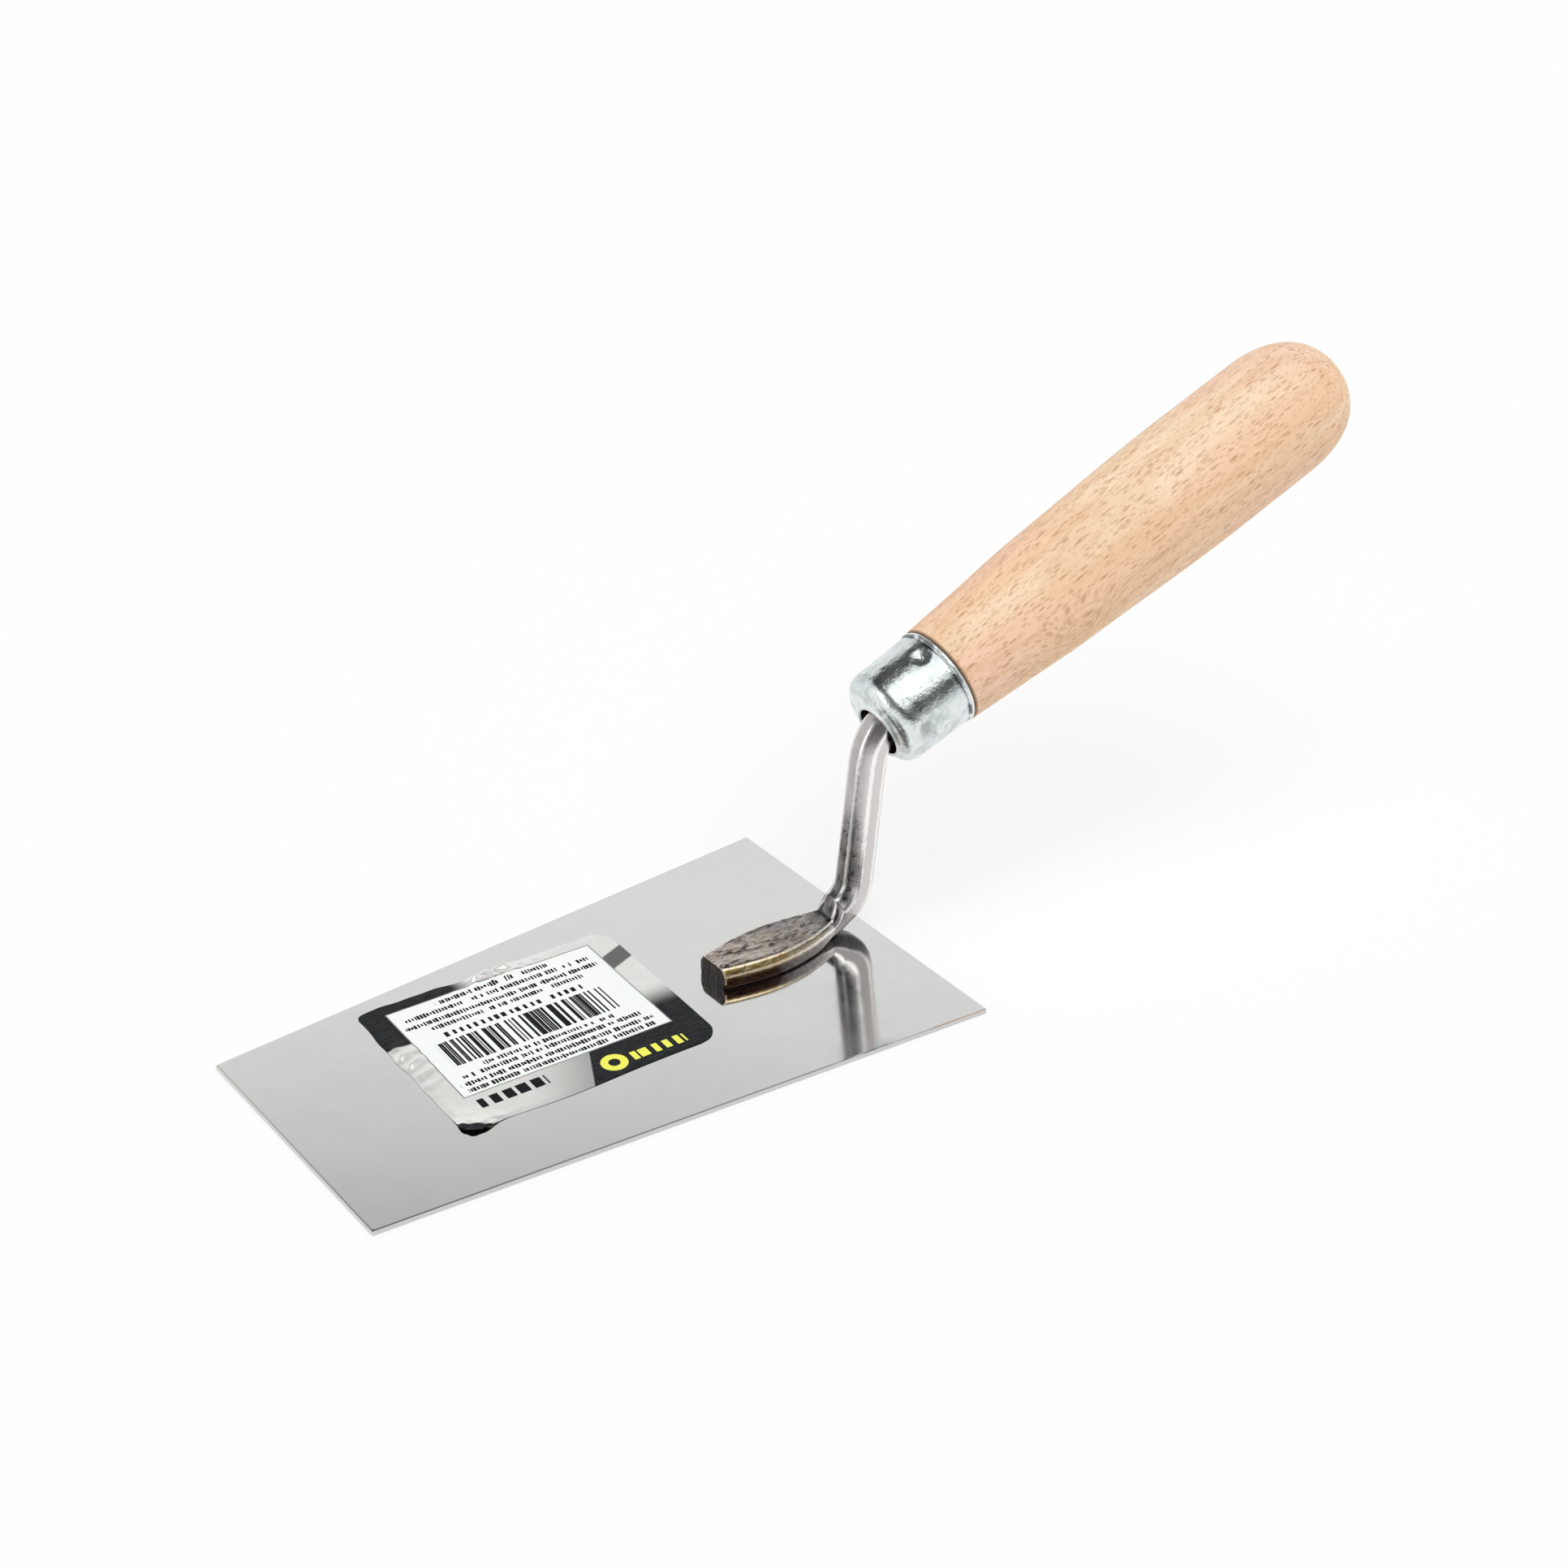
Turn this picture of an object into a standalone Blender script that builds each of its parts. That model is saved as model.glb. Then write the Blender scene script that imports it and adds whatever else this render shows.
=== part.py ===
"""Trapezoidal margin trowel, modelled as the five pieces that it is made of.

The trowel lies flat on its blade. The origin is the middle of the blade's underside, +X runs from the toe
(the narrow front edge) to the heel and the handle, +Y is the trowel's left and +Z is up. Lengths are metres.
"""
from math import cos, hypot, pi, radians, sin, sqrt, tan

import bmesh
import bpy
from mathutils import Matrix, Vector

# ---------------------------------------------------------------------------
# Driving dimensions
# ---------------------------------------------------------------------------

# Blade: a flat sheet, wider at the heel than at the toe
BLADE_LENGTH = 0.1300
TOE_WIDTH = 0.0614
HEEL_WIDTH = 0.0812
BLADE_THICKNESS = 0.0010

# Shank: one octagonal bar, pressed flat at the foot and tapered at the tang
BAR_SIZE = 0.0075            # across flats, in the neck and at the start of the tang
BAR_EDGE_ROUNDING = 0.0004   # how far each long edge is cut back along its two flats
FOOT_LENGTH = 0.0282         # from the foot's front end to the start of the lower bend
FOOT_HEIGHT = 0.0041
FOOT_FRONT_WIDTH = 0.0088
FOOT_BULGE = 0.0044          # how far the pressed foot swells beyond a straight-sided one
FOOT_CHAMFER_WIDTH = 0.0010
FOOT_CHAMFER_HEIGHT = 0.00145
FOOT_DRIFT = 0.0010          # how far the foot's front stands off the bar's middle plane, towards -Y
FOOT_END_ROUNDING = 0.0004
FOOT_RISE_ANGLE = radians(24)  # of the lower bend, over which the pressed foot grows to the full bar
BEND_TO_HEEL = 0.0095        # start of the lower bend, measured forward from the heel edge
LOWER_BEND_RADIUS = 0.00775  # to the middle of the bar
UPPER_BEND_RADIUS = 0.0120   # to the middle of the bar
NECK_LEAN = radians(6.3)     # how far the neck leans back from upright
HANDLE_TILT = radians(21.3)  # handle axis above the plane of the blade
NECK_HEIGHT = 0.0447         # where the neck's line meets the handle axis, above the blade's underside
TANG_LENGTH = 0.0550         # straight tapered stretch after the upper bend
TANG_TIP_SIZE = 0.0040
TANG_POINT_LENGTH = 0.0040
TANG_POINT_SIZE = 0.0016

# Ferrule: a drawn cup that opens towards the handle
FERRULE_SETBACK = 0.0016     # front face, beyond the point where the neck's line meets the axis
FERRULE_LENGTH = 0.0167
FERRULE_WALL = 0.0008
FERRULE_FRONT_RADIUS = 0.01015
FERRULE_REAR_RADIUS = 0.01045
FERRULE_SHOULDER = 0.0030    # radius of the rounded front shoulder
BEAD_WIDTH = 0.0013
BEAD_HEIGHT = 0.00030        # how far the rear bead stands above the cup's side
HOLE_CLEARANCE = 0.0003      # between the neck and the ferrule's front hole
COLLAR_HEIGHT = 0.0005       # how far the lip round the front hole stands out
COLLAR_WALL = 0.0008
COLLAR_ROUNDING = 0.0003

# Staked dent that locks the ferrule to the wood
DENT_MOUTH_RADIUS = 0.0025
DENT_DEPTH = 0.0009
DENT_FROM_REAR = 0.0041      # centre of the dent, measured forward from the ferrule's rear edge
DENT_ANGLE = radians(17)     # round the handle axis, from the top towards -Y

# Handle: turned hardwood
HANDLE_LENGTH = 0.1113       # visible stretch, from the ferrule to the end of the dome
HANDLE_RADIUS = 0.0141       # at the thickest part
HANDLE_FRONT_RADIUS = 0.0108
BARREL_LENGTH = 0.0700       # the swelling stretch behind the ferrule
BARREL_POWER = 1.4           # 1 gives a cone; more gives a fuller barrel
DOME_LENGTH = 0.0176
DOME_LENGTHWISE_POWER = 2.2  # a power of 2 both ways gives an ellipse; more gives a blunter end
DOME_RADIAL_POWER = 2.75
FRONT_EDGE_ROUNDING = 0.0004
SPIGOT_END_GAP = 0.0006      # between the spigot's end and the inside of the ferrule's front
BORE_CLEARANCE = 0.0003      # between the tang and its bore
BORE_END_GAP = 0.0010        # beyond the tang's point

# Label: a foil sticker on the blade
LABEL_LENGTH = 0.0558
LABEL_WIDTH = 0.0447
LABEL_THICKNESS = 0.0002
LABEL_CORNER_RADIUS = 0.0045
LABEL_FROM_TOE = 0.0560      # centre of the label, measured back from the toe edge
LABEL_OFF_CENTRE = 0.0059    # centre of the label, from the blade's middle line towards +Y
LABEL_TURN = radians(-2.2)

# Fits
SEAT_GAP = 0.0003            # between pieces that rest on each other or fit in each other

# Mesh fineness
TURNED_STEPS = 64
DOME_STEPS = 12
BARREL_STEPS = 14
ROUNDING_STEPS = 5
BEND_STEPS = 10
FOOT_STEPS = 12
RISE_STEPS = 5
TANG_STEPS = 4
BALL_STEPS = 32
MERGE_DISTANCE = 0.00001

# ---------------------------------------------------------------------------
# Sizes that follow from the ones above
# ---------------------------------------------------------------------------

HEEL_X = BLADE_LENGTH / 2
OCTAGON_CHAMFER = BAR_SIZE / (2 + sqrt(2))
BAR_REACH = BAR_SIZE / 2 / cos(pi / 8)
SEAT_Z = BLADE_THICKNESS + SEAT_GAP

# The middle line of the full bar, as two straight runs and a neck joined by two bends, in the XZ plane
NECK_ANGLE = pi / 2 - NECK_LEAN
BEND_START = Vector((HEEL_X - BEND_TO_HEEL, 0, SEAT_Z + BAR_SIZE / 2))
LOWER_BEND_CENTRE = BEND_START + Vector((0, 0, LOWER_BEND_RADIUS))
NECK_START = LOWER_BEND_CENTRE + LOWER_BEND_RADIUS * Vector((sin(NECK_ANGLE), 0, -cos(NECK_ANGLE)))
NECK_DIRECTION = Vector((cos(NECK_ANGLE), 0, sin(NECK_ANGLE)))
AXIS_CROSSING = NECK_START + NECK_DIRECTION * ((NECK_HEIGHT - NECK_START.z) / NECK_DIRECTION.z)
AXIS = Vector((cos(HANDLE_TILT), 0, sin(HANDLE_TILT)))
AXIS_NORMAL = Vector((-sin(HANDLE_TILT), 0, cos(HANDLE_TILT)))
UPPER_BEND_TANGENT = UPPER_BEND_RADIUS * tan((NECK_ANGLE - HANDLE_TILT) / 2)
UPPER_BEND_CENTRE = AXIS_CROSSING + AXIS * UPPER_BEND_TANGENT - AXIS_NORMAL * UPPER_BEND_RADIUS
TANG_START = AXIS_CROSSING + AXIS * UPPER_BEND_TANGENT

# Distances along the handle axis, from the ferrule's front face
FERRULE_FRONT = AXIS_CROSSING + AXIS * FERRULE_SETBACK
TANG_START_DEPTH = UPPER_BEND_TANGENT - FERRULE_SETBACK
TANG_END_DEPTH = TANG_START_DEPTH + TANG_LENGTH
SPIGOT_START_DEPTH = FERRULE_WALL + SPIGOT_END_GAP
HANDLE_END_DEPTH = FERRULE_LENGTH + HANDLE_LENGTH
DENT_DEPTH_ALONG_AXIS = FERRULE_LENGTH - DENT_FROM_REAR


def neck_crossing(depth):
    """Lowest and highest point of the bent neck, off the handle axis, on the plane at this depth."""
    before_tang = max(TANG_START_DEPTH - depth, 0.0)
    lowest = sqrt((UPPER_BEND_RADIUS - BAR_SIZE / 2) ** 2 - before_tang ** 2) - UPPER_BEND_RADIUS
    highest = sqrt((UPPER_BEND_RADIUS + BAR_SIZE / 2) ** 2 - before_tang ** 2) - UPPER_BEND_RADIUS
    return lowest, highest


def clear_radius(height):
    """Radius that takes in the bar where its flats reach this far up and down from the circle's middle."""
    return hypot(height, BAR_SIZE / 2 - OCTAGON_CHAMFER)


def ferrule_side_radius(depth):
    """Outer radius of the ferrule's straight, slightly tapered side at this depth."""
    share = depth / FERRULE_LENGTH
    return FERRULE_FRONT_RADIUS + (FERRULE_REAR_RADIUS - FERRULE_FRONT_RADIUS) * share


# The front hole is punched where the neck crosses the ferrule's front, which is below the handle axis
NECK_LOWEST = neck_crossing(-COLLAR_HEIGHT)[0]
NECK_HIGHEST = neck_crossing(FERRULE_WALL)[1]
HOLE_MIDDLE = (NECK_LOWEST + NECK_HIGHEST) / 2
HOLE_RADIUS = clear_radius((NECK_HIGHEST - NECK_LOWEST) / 2) + HOLE_CLEARANCE


# ---------------------------------------------------------------------------
# Scene helpers
# ---------------------------------------------------------------------------

def clear_scene():
    """Remove every object that the scene starts with."""
    for thing in list(bpy.data.objects):
        bpy.data.objects.remove(thing, do_unlink=True)


def new_collection(name):
    """Add a collection to the scene."""
    collection = bpy.data.collections.new(name)
    bpy.context.scene.collection.children.link(collection)
    return collection


def new_material(name, colour, roughness, metallic):
    """A plain material with one colour, roughness and metallic value."""
    material = bpy.data.materials.new(name)
    material.use_nodes = True
    shader = material.node_tree.nodes["Principled BSDF"]
    shader.inputs["Base Color"].default_value = (*colour, 1.0)
    shader.inputs["Roughness"].default_value = roughness
    shader.inputs["Metallic"].default_value = metallic
    return material


def finish_object(thing, collection, material=None):
    """Put an object in its collection alone, and give it its material."""
    for owner in list(thing.users_collection):
        owner.objects.unlink(thing)
    collection.objects.link(thing)
    if material:
        thing.data.materials.clear()
        thing.data.materials.append(material)
    return thing


def shade_round(thing, sharp_angle=radians(30)):
    """Shade a round piece smooth, except across its sharp edges."""
    thing.data.shade_smooth()
    thing.data.set_sharp_from_angle(angle=sharp_angle)


def axis_matrix(depth=0.0):
    """Place a turned piece: its own +Z along the handle axis, from the ferrule's front face."""
    return Matrix.Translation(FERRULE_FRONT + AXIS * depth) @ Matrix.Rotation(pi / 2 - HANDLE_TILT, 4, "Y")


def turned(name, profile, collection, material=None):
    """Turn a profile of (radius, depth) points round the handle axis.

    The profile starts and ends on the axis, and its outer side runs from the deepest point to the front.
    """
    mesh = bpy.data.meshes.new(name)
    points = [(radius, 0.0, depth) for radius, depth in profile]
    edges = [(i, i + 1) for i in range(len(points) - 1)]
    mesh.from_pydata(points, edges, [])
    thing = bpy.data.objects.new(name, mesh)
    finish_object(thing, collection, material)
    screw = thing.modifiers.new("turn", "SCREW")
    screw.axis = "Z"
    screw.angle = 2 * pi
    screw.steps = TURNED_STEPS
    screw.render_steps = TURNED_STEPS
    screw.use_merge_vertices = True
    screw.merge_threshold = MERGE_DISTANCE
    thing.matrix_world = axis_matrix()
    return thing


def add_boolean(thing, other, operation):
    """Cut with, join or keep the overlap with another object."""
    modifier = thing.modifiers.new(operation.lower(), "BOOLEAN")
    modifier.operation = operation
    modifier.solver = "EXACT"
    modifier.object = other


def hide_guide(thing):
    """Mark an object as a cutter or guide, which isn't part of the trowel."""
    thing.hide_render = True
    thing.display_type = "WIRE"


def arc(centre, radius, start, end, steps):
    """Points of an arc in a plane, both ends included."""
    return [(centre[0] + radius * cos(start + (end - start) * i / steps),
             centre[1] + radius * sin(start + (end - start) * i / steps)) for i in range(steps + 1)]


# ---------------------------------------------------------------------------
# Blade and label: flat outlines
# ---------------------------------------------------------------------------

def flat_piece(name, outline, thickness, collection, material):
    """A flat piece of even thickness from a closed outline, middled on its own origin."""
    curve = bpy.data.curves.new(name, "CURVE")
    curve.dimensions = "2D"
    curve.fill_mode = "BOTH"
    curve.extrude = thickness / 2
    spline = curve.splines.new("POLY")
    spline.points.add(len(outline) - 1)
    for point, (x, y) in zip(spline.points, outline):
        point.co = (x, y, 0, 1)
    spline.use_cyclic_u = True
    return finish_object(bpy.data.objects.new(name, curve), collection, material)


def build_blade(collection):
    """The flat trapezium of sheet steel."""
    toe_half = TOE_WIDTH / 2
    heel_half = HEEL_WIDTH / 2
    outline = [(-HEEL_X, -toe_half), (HEEL_X, -heel_half), (HEEL_X, heel_half), (-HEEL_X, toe_half)]
    steel = new_material("blade_stainless", (0.60, 0.60, 0.59), 0.18, 1.0)
    blade = flat_piece("blade", outline, BLADE_THICKNESS, collection, steel)
    blade.location.z = BLADE_THICKNESS / 2
    return blade


def build_label(collection):
    """The rounded foil sticker on the blade's upper face."""
    x = LABEL_LENGTH / 2 - LABEL_CORNER_RADIUS
    y = LABEL_WIDTH / 2 - LABEL_CORNER_RADIUS
    corners = [(x, -y, -pi / 2), (x, y, 0), (-x, y, pi / 2), (-x, -y, pi)]
    outline = []
    for corner_x, corner_y, start in corners:
        outline += arc((corner_x, corner_y), LABEL_CORNER_RADIUS, start, start + pi / 2, ROUNDING_STEPS)
    foil = new_material("label_foil", (0.62, 0.63, 0.62), 0.35, 0.3)
    label = flat_piece("label", outline, LABEL_THICKNESS, collection, foil)
    label.location = (-HEEL_X + LABEL_FROM_TOE, LABEL_OFF_CENTRE, SEAT_Z + LABEL_THICKNESS / 2)
    label.rotation_euler.z = LABEL_TURN
    return label


# ---------------------------------------------------------------------------
# Shank: a loft of octagonal sections along the bent bar
# ---------------------------------------------------------------------------

def octagon_section(width, height, chamfer_width, chamfer_height):
    """A rounded octagon: its corners, each cut back along both of its flats, as (sideways, up) pairs."""
    x = width / 2
    z = height / 2
    corners = [(x, -z + chamfer_height), (x, z - chamfer_height), (x - chamfer_width, z),
               (-x + chamfer_width, z), (-x, z - chamfer_height), (-x, -z + chamfer_height),
               (-x + chamfer_width, -z), (x - chamfer_width, -z)]
    points = []
    for i, corner in enumerate(corners):
        here = Vector(corner)
        for neighbour in (corners[i - 1], corners[(i + 1) % len(corners)]):
            along = Vector(neighbour) - here
            cut = min(BAR_EDGE_ROUNDING, along.length / 4)
            points.append(here + along.normalized() * cut)
    return points


def bar_section(size):
    """The regular octagon of the neck and the tang, by its size across flats."""
    chamfer = OCTAGON_CHAMFER * size / BAR_SIZE
    return octagon_section(size, size, chamfer, chamfer)


def foot_section(share):
    """The pressed foot's section, from its front end (0) to the lower bend (1)."""
    straight = FOOT_FRONT_WIDTH + (BAR_SIZE - FOOT_FRONT_WIDTH) * share
    width = straight + FOOT_BULGE * sin(pi * share)
    return octagon_section(width, FOOT_HEIGHT, FOOT_CHAMFER_WIDTH, FOOT_CHAMFER_HEIGHT)


def rise_section(share):
    """The section between the pressed foot (0) and the full bar (1)."""
    height = FOOT_HEIGHT + (BAR_SIZE - FOOT_HEIGHT) * share
    chamfer_width = FOOT_CHAMFER_WIDTH + (OCTAGON_CHAMFER - FOOT_CHAMFER_WIDTH) * share
    chamfer_height = FOOT_CHAMFER_HEIGHT + (OCTAGON_CHAMFER - FOOT_CHAMFER_HEIGHT) * share
    return octagon_section(BAR_SIZE, height, chamfer_width, chamfer_height), height


def ring_at(point, angle, section, height, drift=0.0):
    """Place a section on the bar's middle line, with its underside where the full bar's would be."""
    normal = Vector((-sin(angle), 0, cos(angle)))
    middle = point - normal * (BAR_SIZE - height) / 2
    return [middle + Vector((0, sideways - drift, 0)) + normal * up for sideways, up in section]


def shank_rings():
    """Every section of the shank in order, from the foot's front end to the tang's point."""
    rings = []
    front = BEND_START - Vector((FOOT_LENGTH, 0, 0))
    end_face = octagon_section(FOOT_FRONT_WIDTH - 2 * FOOT_END_ROUNDING, FOOT_HEIGHT,
                               FOOT_CHAMFER_WIDTH, FOOT_CHAMFER_HEIGHT)
    rings.append(ring_at(front, 0, end_face, FOOT_HEIGHT, FOOT_DRIFT))
    for i in range(FOOT_STEPS + 1):
        share = i / FOOT_STEPS
        forward = FOOT_END_ROUNDING + (FOOT_LENGTH - FOOT_END_ROUNDING) * share
        drift = FOOT_DRIFT * (1 - share ** 3)
        rings.append(ring_at(front + Vector((forward, 0, 0)), 0, foot_section(share), FOOT_HEIGHT, drift))
    for i in range(1, RISE_STEPS + 1):
        angle = FOOT_RISE_ANGLE * i / RISE_STEPS
        section, height = rise_section(i / RISE_STEPS)
        rings.append(ring_at(lower_bend_point(angle), angle, section, height))
    full = bar_section(BAR_SIZE)
    for i in range(1, BEND_STEPS + 1):
        angle = FOOT_RISE_ANGLE + (NECK_ANGLE - FOOT_RISE_ANGLE) * i / BEND_STEPS
        rings.append(ring_at(lower_bend_point(angle), angle, full, BAR_SIZE))
    for i in range(BEND_STEPS + 1):
        angle = NECK_ANGLE + (HANDLE_TILT - NECK_ANGLE) * i / BEND_STEPS
        rings.append(ring_at(upper_bend_point(angle), angle, full, BAR_SIZE))
    for i in range(1, TANG_STEPS + 1):
        share = i / TANG_STEPS
        size = BAR_SIZE + (TANG_TIP_SIZE - BAR_SIZE) * share
        point = TANG_START + AXIS * (TANG_LENGTH - TANG_POINT_LENGTH) * share
        rings.append(ring_at(point, HANDLE_TILT, bar_section(size), BAR_SIZE))
    tip = TANG_START + AXIS * TANG_LENGTH
    rings.append(ring_at(tip, HANDLE_TILT, bar_section(TANG_POINT_SIZE), BAR_SIZE))
    return rings


def lower_bend_point(angle):
    """Middle of the bar in the lower bend, where it runs at this angle above level."""
    return LOWER_BEND_CENTRE + LOWER_BEND_RADIUS * Vector((sin(angle), 0, -cos(angle)))


def upper_bend_point(angle):
    """Middle of the bar in the upper bend, where it runs at this angle above level."""
    return UPPER_BEND_CENTRE + UPPER_BEND_RADIUS * Vector((-sin(angle), 0, cos(angle)))


def build_shank(collection):
    """Foot, neck and tang as one closed loft."""
    mesh_maker = bmesh.new()
    rings = [[mesh_maker.verts.new(point) for point in ring] for ring in shank_rings()]
    for ring, following in zip(rings, rings[1:]):
        for i in range(len(ring)):
            after = (i + 1) % len(ring)
            mesh_maker.faces.new((ring[i], ring[after], following[after], following[i]))
    mesh_maker.faces.new(rings[0])
    mesh_maker.faces.new(rings[-1])
    bmesh.ops.recalc_face_normals(mesh_maker, faces=mesh_maker.faces)
    mesh = bpy.data.meshes.new("shank")
    mesh_maker.to_mesh(mesh)
    mesh_maker.free()
    shank = bpy.data.objects.new("shank", mesh)
    finish_object(shank, collection, new_material("shank_steel", (0.50, 0.48, 0.46), 0.30, 1.0))
    shade_round(shank, radians(20))
    return shank


# ---------------------------------------------------------------------------
# Staked dent: a ball pressed in from outside, with the wall bulging inward round it
# ---------------------------------------------------------------------------

DENT_BALL_RADIUS = (DENT_MOUTH_RADIUS ** 2 + DENT_DEPTH ** 2) / (2 * DENT_DEPTH)


def dent_ball(name, radius, collection):
    """A ball on the dent's centre line, as far out as the pressing ball stands when the dent is made."""
    outward = Matrix.Rotation(DENT_ANGLE, 3, AXIS) @ AXIS_NORMAL
    surface_radius = ferrule_side_radius(DENT_DEPTH_ALONG_AXIS)
    centre = (FERRULE_FRONT + AXIS * DENT_DEPTH_ALONG_AXIS
              + outward * (surface_radius - DENT_DEPTH + DENT_BALL_RADIUS))
    mesh = bpy.data.meshes.new(name)
    mesh_maker = bmesh.new()
    bmesh.ops.create_uvsphere(mesh_maker, u_segments=BALL_STEPS, v_segments=BALL_STEPS // 2, radius=radius)
    mesh_maker.to_mesh(mesh)
    mesh_maker.free()
    ball = bpy.data.objects.new(name, mesh)
    finish_object(ball, collection)
    ball.matrix_world = Matrix.Translation(centre) @ outward.to_track_quat("Z", "Y").to_matrix().to_4x4()
    hide_guide(ball)
    return ball


# ---------------------------------------------------------------------------
# Ferrule and handle: turned round the handle axis
# ---------------------------------------------------------------------------

def ferrule_outside():
    """Outer side of the cup from the rear bead to the middle of the front, as (radius, depth)."""
    bead_radius = FERRULE_REAR_RADIUS + BEAD_HEIGHT
    bead_round = BEAD_WIDTH / 2
    points = arc((bead_radius - bead_round, FERRULE_LENGTH - bead_round), bead_round, pi / 2, -pi / 3,
                 ROUNDING_STEPS)
    points.append((ferrule_side_radius(FERRULE_LENGTH - BEAD_WIDTH), FERRULE_LENGTH - BEAD_WIDTH))
    shoulder_radius = ferrule_side_radius(FERRULE_SHOULDER)
    points += arc((shoulder_radius - FERRULE_SHOULDER, FERRULE_SHOULDER), FERRULE_SHOULDER, 0, -pi / 2,
                  ROUNDING_STEPS)
    points.append((0.0, 0.0))
    return points


def ferrule_within(inset):
    """The cup's side moved in by this much, from the middle of the front back to the rear rim."""
    shoulder = FERRULE_SHOULDER - inset
    shoulder_radius = ferrule_side_radius(FERRULE_SHOULDER) - inset
    points = [(0.0, inset)]
    points += arc((shoulder_radius - shoulder, FERRULE_SHOULDER), shoulder, -pi / 2, 0, ROUNDING_STEPS)
    points.append((FERRULE_REAR_RADIUS - inset, FERRULE_LENGTH))
    return points


def turned_round_hole(name, profile, collection):
    """Turn a guide round the middle of the ferrule's front hole, which lies off the handle axis."""
    guide = turned(name, profile, collection)
    guide.matrix_world = Matrix.Translation(AXIS_NORMAL * HOLE_MIDDLE) @ axis_matrix()
    hide_guide(guide)
    return guide


def hole_collar(collection):
    """Lip round the front hole, before the hole is punched."""
    radius = HOLE_RADIUS + COLLAR_WALL
    profile = [(0.0, FERRULE_WALL / 2), (radius, FERRULE_WALL / 2)]
    rounding_centre = (radius - COLLAR_ROUNDING, COLLAR_ROUNDING - COLLAR_HEIGHT)
    profile += arc(rounding_centre, COLLAR_ROUNDING, 0, -pi / 2, ROUNDING_STEPS)
    profile.append((0.0, -COLLAR_HEIGHT))
    return turned_round_hole("hole_collar", profile, collection)


def hole_punch(collection):
    """Round punch for the ferrule's front hole."""
    front = -2 * COLLAR_HEIGHT
    back = 2 * FERRULE_WALL
    profile = [(0.0, back), (HOLE_RADIUS, back), (HOLE_RADIUS, front), (0.0, front)]
    return turned_round_hole("hole_punch", profile, collection)


def build_ferrule(collection, cutters):
    """The drawn cup with its front hole, rear bead and staked dent."""
    zinc = new_material("ferrule_zinc", (0.74, 0.77, 0.77), 0.22, 1.0)
    ferrule = turned("ferrule", ferrule_within(FERRULE_WALL) + ferrule_outside(), collection, zinc)
    mid_wall = ferrule_within(FERRULE_WALL / 2)[::-1]
    envelope = turned("ferrule_envelope", [(0.0, FERRULE_LENGTH)] + mid_wall, cutters)
    hide_guide(envelope)
    boss = dent_ball("dent_boss", DENT_BALL_RADIUS + FERRULE_WALL, cutters)
    add_boolean(boss, envelope, "INTERSECT")
    add_boolean(ferrule, boss, "UNION")
    add_boolean(ferrule, hole_collar(cutters), "UNION")
    add_boolean(ferrule, dent_ball("dent_ball", DENT_BALL_RADIUS, cutters), "DIFFERENCE")
    add_boolean(ferrule, hole_punch(cutters), "DIFFERENCE")
    shade_round(ferrule)
    return ferrule


def handle_outside():
    """Outer side of the wood from the dome's end to the ferrule, as (radius, depth)."""
    dome_centre = HANDLE_END_DEPTH - DOME_LENGTH
    points = []
    for i in range(DOME_STEPS + 1):
        angle = pi / 2 * (1 - i / DOME_STEPS)
        points.append((HANDLE_RADIUS * cos(angle) ** (2 / DOME_RADIAL_POWER),
                       dome_centre + DOME_LENGTH * sin(angle) ** (2 / DOME_LENGTHWISE_POWER)))
    points[0] = (0.0, HANDLE_END_DEPTH)
    for i in range(BARREL_STEPS + 1):
        share = i / BARREL_STEPS
        radius = HANDLE_RADIUS - (HANDLE_RADIUS - HANDLE_FRONT_RADIUS) * share ** BARREL_POWER
        depth = FERRULE_LENGTH + SEAT_GAP + BARREL_LENGTH * (1 - share)
        if i == BARREL_STEPS:
            depth += FRONT_EDGE_ROUNDING
        points.append((radius, depth))
    points.append((HANDLE_FRONT_RADIUS - FRONT_EDGE_ROUNDING, FERRULE_LENGTH + SEAT_GAP))
    return points


def spigot_outside():
    """Reduced front end of the wood that fills the ferrule, one gap inside the ferrule's wall."""
    inset = FERRULE_WALL + SEAT_GAP
    shoulder = FERRULE_SHOULDER - FERRULE_WALL
    shoulder_radius = ferrule_side_radius(FERRULE_SHOULDER) - inset
    shoulder_depth = SPIGOT_START_DEPTH + shoulder
    points = [(FERRULE_REAR_RADIUS - inset, FERRULE_LENGTH + SEAT_GAP)]
    points += arc((shoulder_radius - shoulder, shoulder_depth), shoulder, 0, -pi / 2, ROUNDING_STEPS)
    return points


def bore_radius(size):
    """Radius of the bore round a tang of this size across flats."""
    return BAR_REACH * size / BAR_SIZE + BORE_CLEARANCE


def bore_inside():
    """Blind bore from its mouth to its end on the axis.

    It starts as a countersink round the bend and narrows with the tang's taper.
    """
    mouth = clear_radius(neck_crossing(SPIGOT_START_DEPTH)[0]) + BORE_CLEARANCE
    return [(mouth, SPIGOT_START_DEPTH),
            (bore_radius(BAR_SIZE), max(TANG_START_DEPTH, SPIGOT_START_DEPTH + BORE_CLEARANCE)),
            (bore_radius(TANG_TIP_SIZE), TANG_END_DEPTH - TANG_POINT_LENGTH),
            (bore_radius(TANG_TIP_SIZE), TANG_END_DEPTH),
            (0.0, TANG_END_DEPTH + BORE_END_GAP)]


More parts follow.
